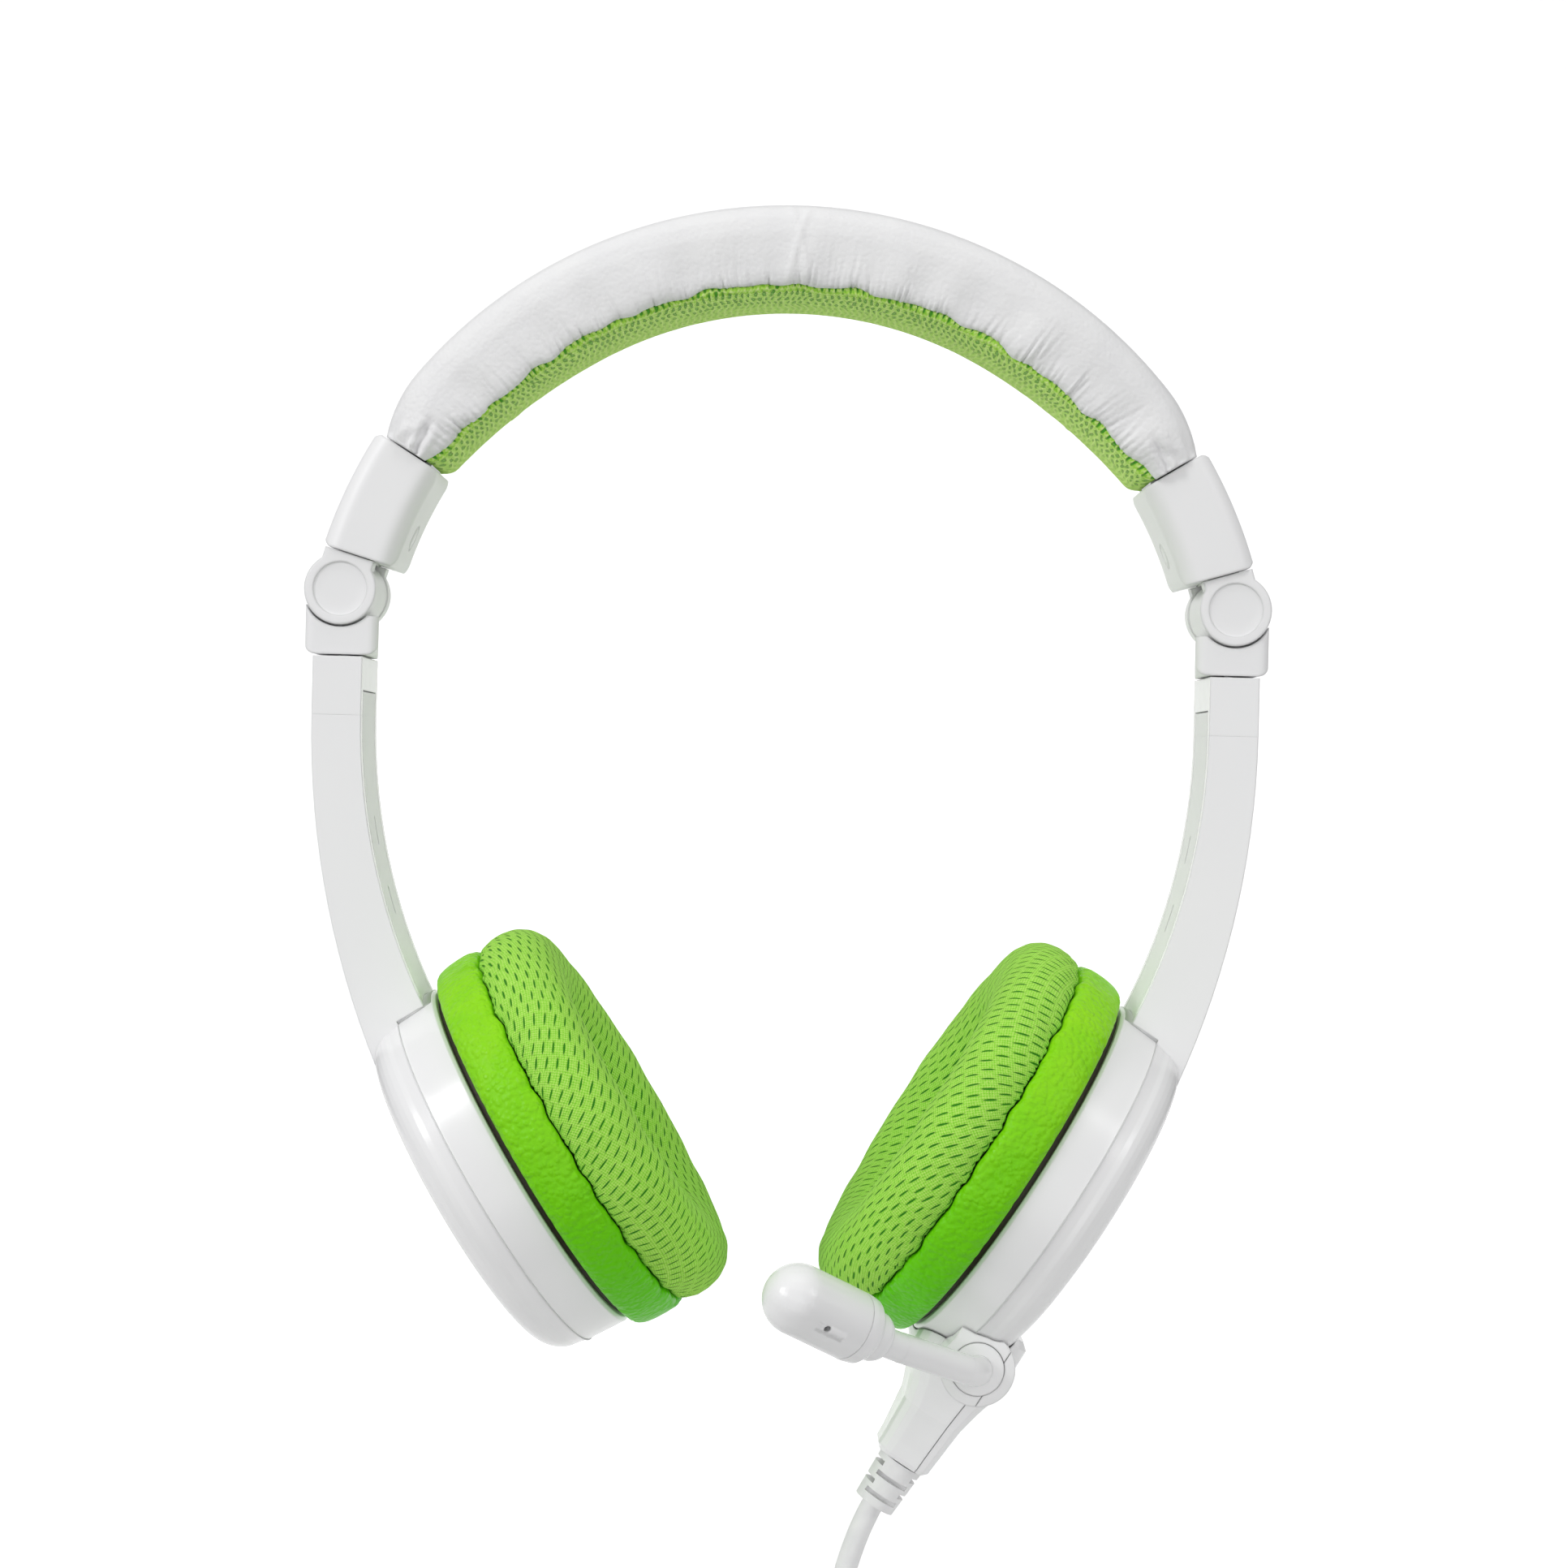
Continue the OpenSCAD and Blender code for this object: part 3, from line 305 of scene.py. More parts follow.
def knit(name, light, mid, dark, hole, pitch, long, wide, turn, stitch, uneven, fluff, rise,
         ragged=0.3, thinning=None):
    """Warp-knitted sports mesh: staggered open slits between fine ribs. The piece's UV map holds
    the cloth's own plane in metres x 10. pitch is the slits' spacing across and along, long and
    wide their size, and turn their lean from the V direction. stitch is the spacing of the ribs,
    drawn a little coarser than real ones so that they show. All are in millimetres and degrees.
    uneven is how far the rows wander, fluff the sheen, rise the relief in metres and ragged the
    roughness of the slits' outline. thinning is (from, to, share): how far in from the sewn edge
    the slits fade, and what is left of them there."""
    material, shader = new_material(
        name, Roughness=0.85, IOR=1.35,
        Sheen_Weight=fluff, Sheen_Tint=colour(light), Sheen_Roughness=0.5,
    )
    do = functools.partial(maths, material)
    cloth = add(material, "UVMap", {"uv_map": "cloth"}).outputs["UV"]
    place = own_place(material)
    # The rows wander, as the knit is stretched unevenly when it is sewn on.
    drift = add(material, "TexNoise", {}, {"Vector": place, "Scale": 90, "Detail": 2})
    plane = add(material, "Mapping", {}, {
        "Vector": shifted(material, cloth, drift.outputs["Color"], uneven * 0.04),
        "Rotation": (0, 0, math.radians(turn)), "Scale": (UV_TO_MM,) * 3,
    }).outputs[0]
    across, along = split(material, plane)[:2]
    # Every other row of slits is set off by half a pitch.
    row = do("DIVIDE", along, pitch[1])
    shift = do("MULTIPLY", do("MODULO", do("FLOOR", row), 2.0), 0.5)
    column = do("ADD", do("DIVIDE", across, pitch[0]), shift)
    x = do("MULTIPLY", do("SUBTRACT", do("FRACT", column), 0.5), pitch[0])
    y = do("MULTIPLY", do("SUBTRACT", do("FRACT", row), 0.5), pitch[1])
    # How far the point lies from the middle of its slit, 1 on the slit's oval outline.
    squares = [do("POWER", do("ABSOLUTE", do("DIVIDE", part, size / 2)), 2.0)
               for part, size in ((x, wide), (y, long))]
    tear = do("MULTIPLY_ADD", grain_noise(material, place, 700, 1), ragged * 2, 1 - ragged)
    far = do("MULTIPLY", do("SQRT", do("ADD", *squares)), tear)
    gap = carry(material, far, 1.25, 0.7, eased=True)
    if thinning:
        inwards = do("MULTIPLY", split(material, cloth)[1], UV_TO_MM)
        left = carry(material, inwards, thinning[0], thinning[1], 1.0, thinning[2], eased=True)
        gap = do("MULTIPLY", gap, left)
    # Fine ribs along the slits and the V of each stitch across them.
    per_mm = 2 * math.pi / stitch
    rib = do("SINE", do("MULTIPLY", across, per_mm))
    bent = do("MULTIPLY", do("ABSOLUTE", rib), 2.2)
    vee = do("SINE", do("ADD", do("MULTIPLY", along, per_mm), bent))
    yarn = do("MULTIPLY_ADD", do("MULTIPLY_ADD", rib, 0.25, 0.5), 0.6,
              do("MULTIPLY_ADD", vee, 0.2, 0.2))
    fuzz = grain_noise(material, place, 2600, 3)
    tone = do("MULTIPLY_ADD", fuzz, 0.5, do("MULTIPLY", yarn, 0.6))
    cover = ramp(material, tone, [(0.2, dark), (0.48, mid), (0.8, light)])
    raised = do("MULTIPLY_ADD", fuzz, 0.3, do("MULTIPLY", yarn, 0.5))
    relief = do("SUBTRACT", raised, do("MULTIPLY", gap, 0.9))
    dress(
        material, shader,
        Base_Color=mixed(material, gap, cover, colour(hole)),
        Normal=bump(material, relief, 0.8, rise),
    )
    return material


gloss_white = white_moulding("gloss_white_abs", "#fafafa", "#f6f6f7", 0.24)
satin_white = white_moulding("satin_white_abs", "#fafafa", "#f5f5f6", 0.42, edge=0.0007)
soft_white = leatherette(
    "white_leatherette", "#f6f6f6", "#efeff0", pore=0.0007, pore_depth=0.00005,
    crease=0.009, crease_depth=0.0003, roughness=0.44,
)
# The low colour here is painted shade: the rim turns darker and more saturated towards its foot.
lime_leather = leatherette(
    "lime_leatherette", "#9ee81a", "#8ade0c", pore=0.0009, pore_depth=0.0002,
    crease=0.009, crease_depth=0.0007, roughness=0.38, low="#5ed000",
)
pad_knit = knit(
    "green_pad_knit", "#e6ffa4", "#b4ec54", "#74c62e", "#48a422", pitch=(1.1, 3.3), long=2.5,
    wide=0.44, turn=0, stitch=1.1, uneven=0.9, fluff=0.7, rise=0.0004, ragged=1.0,
    thinning=(8, 15, 0.3),
)
ear_knit = {
    side: knit(
        f"green_ear_mesh_{word}", "#d2fb80", "#a2ee48", "#6cca22", "#2f8f0c", pitch=(1.75, 2.7),
        long=2.2, wide=0.3, turn=turn, stitch=0.42, uneven=0.45, fluff=0.2, rise=0.0004,
    )
    for (side, word), turn in zip(SIDES, (-35, 52))
}
dark_rim = plain_moulding("dark_brown_plastic", "#3f3222", "#2e2416", 0.5)
grey_plastic = plain_moulding("grey_plastic", "#56585a", "#45474a", 0.5)
film = plain_moulding("speaker_film", "#9a9ca0", "#85888c", 0.35)
grille_cloth = plain_moulding(
    "dark_green_cloth", "#3b6a1f", "#254a12", 0.9, grain=1800.0, depth=0.0001
)
jacket = plain_moulding(
    "white_pvc_jacket", "#f1f1f1", "#e9e9ea", 0.38, grain=300.0, depth=0.00002
)
steel = metal("spring_steel", "#b9babc", "#9a9b9e", 0.32)
gold = metal("plated_contact", "#e3c070", "#c9a24f", 0.22)

FINISH = {
    # headband and hinges
    "band_spring": steel, "band_pad": pad_knit, "band_cover": soft_white, "sleeve": satin_white,
    "sleeve_screw": steel, "knuckle": satin_white, "hinge_pin": steel, "hinge_caps": satin_white,
    "bracket": satin_white, "size_strip": steel,
    # arms and cups
    "arm_shell": gloss_white, "arm_cover": satin_white, "cup_housing": gloss_white,
    "cup_screws": steel, "baffle": dark_rim, "driver_frame": grey_plastic,
    "driver_magnet": steel, "driver_diaphragm": film, "ear_grille": grille_cloth,
    "cushion_ring": dark_rim, "cushion_rim": lime_leather, "cushion_face": ear_knit[-1],
    "audio_socket": grey_plastic,
    # microphone lead
    "jack_pin": gold, "plug_shell_inner": gloss_white, "plug_shell_outer": gloss_white,
    "boom_hub": gloss_white, "boom_tube": gloss_white, "capsule_cap": gloss_white,
    "capsule_shell": gloss_white, "mic_element": steel, "strain_relief": jacket,
    "cable": jacket, "cable_coil": jacket, "coil_tie": jacket, "far_plug": satin_white,
    "far_pin": gold,
}
for name, piece in nodes.items():
    piece.data.materials.clear()
    piece.data.materials.append(FINISH[name.replace("left_", "").replace("right_", "")])

# ---------- making pieces ----------


def piece_from(name, points, faces, material, cloth=None):
    """An object at the origin from points in millimetres; cloth gives each point's place on its
    cloth."""
    mesh = bpy.data.meshes.new(name)
    mesh.from_pydata((np.asarray(points) * MM).tolist(), [], faces)
    if cloth is not None:
        layer = mesh.uv_layers.new(name="cloth")
        corners = np.empty(len(mesh.loops), dtype=np.int32)
        mesh.loops.foreach_get("vertex_index", corners)
        layer.data.foreach_set("uv", (np.asarray(cloth)[corners] / UV_TO_MM).ravel())
    mesh.materials.append(material)
    made = bpy.data.objects.new(name, mesh)
    bpy.context.collection.objects.link(made)
    mesh.shade_smooth()
    return made


def grid_faces(rows, columns, shut=False):
    """Quads between rows of points, each row closed round; shut joins the last row to the first,
    and otherwise the two end rows are closed with a face each."""
    faces = [
        (i * columns + j, i * columns + (j + 1) % columns,
         (i + 1) % rows * columns + (j + 1) % columns, (i + 1) % rows * columns + j)
        for i in range(rows if shut else rows - 1) for j in range(columns)
    ]
    if not shut:
        faces += [tuple(range(columns))[::-1], tuple(range((rows - 1) * columns, rows * columns))]
    return faces


def turn_outwards(made):
    """Points the normals of a closed piece outwards."""
    bm = bmesh.new()
    bm.from_mesh(made.data)
    bmesh.ops.recalc_face_normals(bm, faces=bm.faces)
    bm.to_mesh(made.data)
    bm.free()


def lengths(line):
    """How far each point lies along a line, or along each of several lines."""
    steps = np.linalg.norm(np.diff(line, axis=-2), axis=-1)
    return np.concatenate([np.zeros(steps.shape[:-1] + (1,)), np.cumsum(steps, axis=-1)], -1)


def resampled(line, at):
    """A line's points at the given distances along it."""
    run = lengths(line)
    return np.stack([np.interp(at, run, line[:, k]) for k in range(line.shape[1])], 1)


def spread(profile, count):
    """count points at even steps along a smooth line through the profile's points, and their
    distances along it."""
    fine, reach = 800, 20  # points of the smooth line, and half of the span it is smoothed over
    ends = np.asarray(profile, float)
    line = resampled(ends, np.linspace(0, lengths(ends)[-1], fine))
    kernel = bell(np.linspace(-2, 2, 2 * reach + 1))
    kernel /= kernel.sum()
    padded = np.vstack([np.repeat(line[:1], reach, 0), line, np.repeat(line[-1:], reach, 0)])
    line = np.stack(
        [np.convolve(padded[:, k], kernel, "valid") for k in range(line.shape[1])], 1)
    line[0], line[-1] = ends[0], ends[-1]
    at = np.linspace(0, lengths(line)[-1], count)
    return resampled(line, at), at


def ride_all(made, body, *replaced):
    """Lets a piece ride on a body and stand for the solids that it replaces."""
    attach(made, body)
    if replaced:
        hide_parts(*replaced)


# ---------- microphone lead ----------

STRAIGHT_OUT = 1.5  # of the cable, before it starts to bend
COIL_POINTS = 60  # per turn
BEND_POINTS = 6  # between two points of the hanging stretch
# The hanging stretch, as (towards the left, down) from the end of the strain relief.
HANGING = [
    (2.62, 5.5), (4.3, 10.7), (5.42, 15.86), (6.52, 20.86), (7.32, 25.76), (7.82, 30.66),
    (8.02, 35.46), (8.02, 41.46), (8.02, 47.46), (8.02, 53.46),
]

down = np.array([-math.sin(CUP_TILT), 0, -math.cos(CUP_TILT)])
ear = np.array([-math.cos(CUP_TILT), 0, math.sin(CUP_TILT)])
cup_centre = np.array([CUP_X, 0, CUP_Z])
cable_from = cup_centre - PLUG_BACK * ear + RELIEF_END * down
hanging = [cable_from, cable_from + STRAIGHT_OUT * down]
hanging += [cable_from - np.array([x, 0, z]) for x, z in HANGING]
coil_mid = hanging[-1] - np.array([COIL_R, 0, 0])


def coil_point(u):
    """The winding's centreline after u turns: in on the front layer, out again on the back one,
    with half a turn to cross between them."""
    r = COIL_R - COIL_PITCH * (u if u < LAYER_TURNS else 2 * LAYER_TURNS - u)
    y = COIL_PITCH * float(smooth((u - LAYER_TURNS) * 2 + 0.5, 0, 1))
    a = 2 * math.pi * u
    return coil_mid + np.array([r * math.cos(a), y, -r * math.sin(a) - CABLE_D])


def rounded(points, each):
    """A smooth line through the points, with each steps between two of them."""
    p = np.vstack([2 * points[0] - points[1], points, 2 * points[-1] - points[-2]])
    t = np.linspace(0, 1, each, endpoint=False)[:, None]
    a, b, c, d = p[:-3, None], p[1:-2, None], p[2:-1, None], p[3:, None]
    square = (2 * a - 5 * b + 4 * c - d) * t**2
    cube = (3 * b - a - 3 * c + d) * t**3
    bent = 0.5 * (2 * b + (c - a) * t + square + cube)
    return np.vstack([bent.reshape(-1, 3), points[-1:]])


def make_cable():
    """The lead's cable: from the strain relief down to its coil and through that to the far
    plug."""
    turns = [i / COIL_POINTS for i in range(1, 2 * LAYER_TURNS * COIL_POINTS)]
    last = coil_point(2 * LAYER_TURNS)
    route = np.vstack([
        rounded(np.array(hanging), BEND_POINTS), [coil_point(u) for u in turns],
        [last, last - np.array([0, 0, CABLE_D])],
    ])
    curve = bpy.data.curves.new("mic_cable", "CURVE")
    curve.dimensions = "3D"
    curve.bevel_depth = CABLE_D / 2 * MM
    curve.bevel_resolution = 6
    curve.use_fill_caps = True
    line = curve.splines.new("POLY")
    line.points.add(len(route) - 1)
    for point, place in zip(line.points, route * MM):
        point.co = (*place, 1)
    line.use_smooth = True
    curve.materials.append(jacket)
    made = bpy.data.objects.new("mic_cable", curve)
    bpy.context.collection.objects.link(made)
    ride_all(made, "microphone_lead", "cable", "cable_coil")


make_cable()

# ---------- headband ----------

COVER_RINGS, COVER_AROUND = 460, 84
PAD_RINGS, PAD_AROUND = 300, 60
TUCKED = 2.9  # cloth of the cover that is tucked in before its visible edge
BAND_SPAN = (-66, 66)  # where creases start along the band
CROWN_SEAM = 0.5  # where the two halves of the cover meet, along the band
SWELLING = [(7.6, 0.17, 0.4), (12.5, 0.2, 1.0), (21, 0.24, 2.2), (33, 0.22, 0.3)]
PUFFING = [(7.6, 0.06, 0.4), (5.1, 0.05, 1.7)]
# Folds at the mouth of a sleeve: height above the seam, lean, reach, depth, width.
SLEEVE_FOLDS = ((2.7, 0.36, 7.0, 1.15, 0.62), (5.4, -0.1, 4.0, 0.7, 0.8),
                (8.4, 0.25, 5.0, 0.35, 0.7))


def near_sleeve(a, start):
    """0 up to a start angle, then a rise with the square of the way to 1 at the sleeve."""
    return np.clip((np.abs(a) - start) / (BAND_HALF - start), 0, 1) ** 2


def seam_rise(a):
    """Height of the sewn edge above the pad's underside, at an angle in degrees."""
    return 0.55 + 3.3 * near_sleeve(a, 40)


def seam_scallop(a):
    """The sewn edge runs in shallow, uneven scallops between its stitches."""
    t = np.radians(a) * BAND_R
    return (0.24 * np.sin(t / 1.21 + 0.4) + 0.2 * np.sin(t / 1.8 + 2.1)
            + 0.1 * np.sin(t / 0.78 + 1.3))


def half_depth(a):
    """Half of the padding's depth; it narrows towards the sleeves."""
    return HALF_DEPTH - 1.9 * near_sleeve(a, 24)


def tucks(count, span, reach, width, depth, lean):
    """Fine creases that start at a seam somewhere in a span, as (place, reach, width, depth,
    lean); reach, width and depth are given as (least, most)."""
    place = np.sort(span[0] + (span[1] - span[0]) * rng.random(count))
    return np.stack([
        place, reach[0] + (reach[1] - reach[0]) * rng.random(count) ** 1.6,
        width[0] + (width[1] - width[0]) * rng.random(count),
        depth[0] + (depth[1] - depth[0]) * rng.random(count),
        lean * (rng.random(count) - 0.5)], 1)


def crease_depth(along, up, marks):
    """How far the surface is drawn in at a place along the seam and a distance up from it. Each
    crease stands up a little along both of its edges."""
    total = np.zeros(np.broadcast(along, up).shape)
    for place, reach, width, depth, lean in marks:
        off = (along - place - lean * up) / width
        section = bell(off) - 0.55 * np.exp(-((np.abs(off) - 1.6) ** 2) * 1.6)
        fade = np.clip(1 - up / reach, 0, 1) ** 0.8 * smooth(up, -0.2, 0.5)
        total += depth * section * fade
    return total


def soft_arch(name, node, angles, grid, material, cloth=None):
    """A padded piece of the headband from its sections of (depth, height), one for each angle."""
    radius, turn = BAND_R + grid[..., 1], np.radians(angles)[:, None]
    points = np.stack(
        [radius * np.sin(turn), grid[..., 0], radius * np.cos(turn) - BAND_R], -1)
    faces = grid_faces(*grid.shape[:2])
    made = piece_from(name, points.reshape(-1, 3), faces, material, cloth)
    turn_outwards(made)
    ride_all(made, "headband", node)


def cover_section(a):
    """The cover's section at an angle: from the front seam over the crest to the back one."""
    w, base = float(half_depth(a)), float(seam_rise(a))
    h = float(BAND_HEIGHT + 0.1 - 2.2 * near_sleeve(a, 50))
    edge = [
        (w - 2.6, base + 2.4), (w - 1.5, base + 0.5), (w - 0.7, base + 0.05), (w - 0.1, base + 0.5),
        (w + 0.3, base + 2.0), (w + 0.4, h * 0.4), (w + 0.25, h * 0.62), (w - 0.55, h - 3.1),
        (w - 2.1, h - 1.45), (w - 4.8, h - 0.55), (w * 0.34, h - 0.05), (0, h),
    ]
    half, _ = spread(edge, COVER_AROUND // 2 + 1)
    return np.vstack([half * [-1, 1], half[::-1][1:]])


def crown_relief(along, up):
    """The seam where the two halves of the cover meet: a shallow groove at the edge that opens
    into two soft lips crossing each other higher up."""
    on = smooth(up, 0.2, 1.5) * (1 - smooth(up, 12.5, 16))
    off = along - CROWN_SEAM
    lips = sum(bell(off - lean * (up - 8.5), 0.5) for lean in (0.26, -0.26))
    return on * (0.22 * lips - 0.34 * bell(off, 0.5) * (1 - smooth(up, 3, 8)))


def fold_relief(away, up, size):
    """Deep folds where the cover is drawn into a sleeve, at a distance away from its mouth."""
    total = 0
    for start, lean, reach, deep, wide in SLEEVE_FOLDS:
        off = (up - start - lean * away) / wide
        fade = (1 - smooth(away, reach * 0.45, reach)) * size
        total = total + deep * fade * (0.45 * bell(np.abs(off) - 1.9) - bell(off))
    return total


def make_cover():
    """The white leatherette cover of the band, over the top from one seam to the other."""
    angles = np.linspace(-BAND_HALF, BAND_HALF, COVER_RINGS)
    along = (np.radians(angles) * COVER_R)[:, None]
    front_marks = tucks(210, BAND_SPAN, reach=(2.5, 9), width=(0.16, 0.34), depth=(0.1, 0.3),
                        lean=0.35)
    back_marks = tucks(120, BAND_SPAN, reach=(2.5, 8), width=(0.2, 0.36), depth=(0.1, 0.26),
                       lean=0.35)
    grid = np.array([cover_section(a) for a in angles])  # ring, point, (depth, height)
    run = lengths(grid)
    up, back_up = run - TUCKED, run[:, -1:] - run - TUCKED
    tangent = np.gradient(grid, axis=1)
    normal = np.stack([-tangent[..., 1], tangent[..., 0]], -1)
    normal /= np.linalg.norm(normal, axis=2, keepdims=True)
    middle = np.array([0.0, BAND_HEIGHT / 2])
    normal *= np.sign(((grid - middle) * normal).sum(2, keepdims=True))
    # Padding swells between the tucks.
    out = wave(along, SWELLING) * bell(np.minimum(up, back_up) - 3.5, 4.5)
    out = out - crease_depth(along, up, front_marks) - crease_depth(along, back_up, back_marks)
    out = out + crown_relief(along, up) + crown_relief(along, back_up)
    mouth = np.radians(BAND_HALF + 0.2) * COVER_R
    for side, front_size in ((-1, 1.0), (1, 0.75)):
        away = mouth - along * side
        out = out + fold_relief(away, up, front_size) + fold_relief(away, back_up, 0.8)
    grid = grid + normal * out[..., None]
    # Only the seam's own edge runs in scallops.
    near = bell(np.maximum(up, 0), 1.6) + bell(np.maximum(back_up, 0), 1.6)
    grid[..., 1] += seam_scallop(angles)[:, None] * near
    soft_arch("headband_cover", "band_cover", angles, grid, soft_white)


def pad_section(a):
    """The pad's section at an angle: its visible underside and sides, then its hidden top."""
    w, even = float(half_depth(a)) - 0.95, float(seam_rise(a))
    base = float(seam_rise(a) + seam_scallop(a))
    # The corner beside the sleeve is rounded.
    corner = 2.2
    into = min(corner - 0.05, max(0.0, (abs(float(a)) - 56.2) * 1.14))
    under = float(2.5 * near_sleeve(a, 30)) + corner - math.sqrt(corner**2 - into**2)
    edge = [
        (w - 0.2, base + 0.6), (w + 0.05, base - 0.05), (w - 0.1, (even + under) / 2 - 0.1),
        (w - 0.8, under - 0.2), (w - 2.4, under - 0.4), (w * 0.5, under - 0.6), (0, under - 0.65),
    ]
    lower, _ = spread([(-x, z) for x, z in edge] + edge[-2::-1], PAD_AROUND)
    return np.vstack([lower, [(w - 1.7, base + 1.1), (0, base + 1.2), (1.7 - w, base + 1.1)]])


def make_pad():
    """The knitted pad on the underside of the band."""
    angles = np.linspace(-BAND_HALF + 0.15, BAND_HALF - 0.15, PAD_RINGS)
    along = (np.radians(angles) * BAND_R)[:, None]
    grid = np.array([pad_section(a) for a in angles])
    lower = grid[:, :PAD_AROUND]  # the visible part, which the lines below change in place
    up = lengths(lower)
    near = np.minimum(up, up[:, -1:] - up)
    lower[..., 1] -= wave(along, PUFFING) * bell(near - 1.0, 0.7)
    marks = tucks(230, BAND_SPAN, reach=(0.8, 2.6), width=(0.16, 0.3), depth=(0.05, 0.14),
                  lean=0.3)
    lower[..., 1] += crease_depth(along, near, marks) * 0.7
    cloth = np.empty(grid.shape)
    cloth[..., 0] = along
    cloth[:, :PAD_AROUND, 1] = up
    cloth[:, PAD_AROUND:, 1] = up[:, -1:] + 2
    soft_arch("headband_pad", "band_pad", angles, grid, pad_knit, cloth.reshape(-1, 2))


make_cover()
make_pad()

# ---------- ear cushions ----------

RIM_TOP = 9.0  # height of the sewn edge of the leather
FACE_FOOT = 9.25  # height of the sewn edge of the knit
FAR_OFF = 60  # out of reach of every crease
ALL_ROUND = (0, SEAM_ROUND)
RIM_STEPS = (92, 480)  # points of the section, places round the cushion
FACE_STEPS = (110, 520)
SCALLOPS = ((27, 0.12, 0.3), (41, 0.12, 1.1), (17, 0.08, 2.0))


def cup_point(side, radius, angle, out):
    """A place on a cup: angle 0 is down the face, 90 degrees the back."""
    x = side * (CUP_X + down[0] * radius * np.cos(angle) + ear[0] * out)
    z = CUP_Z + down[2] * radius * np.cos(angle) + ear[2] * out
    return np.stack([x, radius * np.sin(angle) + 0 * z, z], -1)


def round_wave(along, pieces):
    """A sum of waves round a cushion, as (number of waves, height, phase)."""
    return wave(along, [(SEAM_ROUND / count, h, ph) for count, h, ph in pieces])


def ring_piece(name, side, profile, steps, shape, material, unroll):
    """A soft ring from a closed profile (radius, height). shape(grid, along, at) moves its
    points, and unroll(section, at) gives each point's distance from the middle of the cloth."""
    count, turns = steps
    section, at = spread(profile, count)
    section, at = section[:-1], at[:-1]
    angle = np.linspace(0, 2 * math.pi, turns, endpoint=False)[:, None]
    grid = shape(np.repeat(section[None], turns, 0), angle * SEAM_R, at[None, :])
    points = cup_point(side, grid[..., 0], angle, grid[..., 1]).reshape(-1, 3)
    flat = unroll(section, at)[None, :]
    cloth = np.stack([flat * np.cos(angle), flat * np.sin(angle)], -1).reshape(-1, 2)
    faces = grid_faces(turns, len(section), shut=True)
    made = piece_from(name, points, faces, material, cloth)
    turn_outwards(made)
    return made


def push_out(grid, amount):
    """Moves the rings' points along the section's normal."""
    t = np.roll(grid, -1, 1) - np.roll(grid, 1, 1)
    n = np.stack([t[..., 1], -t[..., 0]], -1)
    n /= np.maximum(np.linalg.norm(n, axis=2, keepdims=True), 1e-9)
    if ((grid - grid.mean(1, keepdims=True)) * n).sum() < 0:
        n = -n
    return grid + n * amount[..., None]


def make_rim(side, word):
    """The leather side of a cushion."""
    profile = [
        (14.6, 1.9), (29.0, 1.0), (30.4, 0.98), (31.9, 1.0), (32.7, 1.3), (33.3, 2.4),
        (33.6, 4.2), (33.65, 6.2), (33.6, 7.8), (33.2, 8.75), (32.6, 9.15), (31.8, 9.0),
        (29.5, 8.8), (20, 8.6), (14.0, 8.6), (13.7, 5), (14.6, 1.9),
    ]
    side_from = 30.8  # radius
    top_marks = tucks(110, ALL_ROUND, reach=(1.2, 6.0), width=(0.18, 0.45), depth=(0.08, 0.26),
                      lean=0.7)
    foot_marks = tucks(26, ALL_ROUND, reach=(1.5, 4), width=(0.5, 0.9), depth=(0.08, 0.2),
                       lean=0.5)

    def shape(grid, along, at):
        outer = grid[..., 0] > side_from
        below_top = np.where(outer, RIM_TOP - grid[..., 1], FAR_OFF)
        above_foot = np.where(outer, grid[..., 1] - 1.0, FAR_OFF)
        puff = round_wave(along, ((14, 0.08, 0.5), (23, 0.07, 1.9))) * bell(below_top - 2.5, 2.5)
        drawn = (crease_depth(along, below_top, top_marks)
                 + crease_depth(along, above_foot, foot_marks))
        grid = push_out(grid, (puff - drawn) * outer)
        near_top = bell(RIM_TOP - grid[..., 1]) * outer
        grid[..., 1] += round_wave(along, SCALLOPS) * near_top
        return grid

    made = ring_piece(word + "_cushion_leather", side, profile, RIM_STEPS, shape, lime_leather,
                      lambda section, at: 20 + at)
    ride_all(made, word + "_earpiece", word + "_cushion_rim")


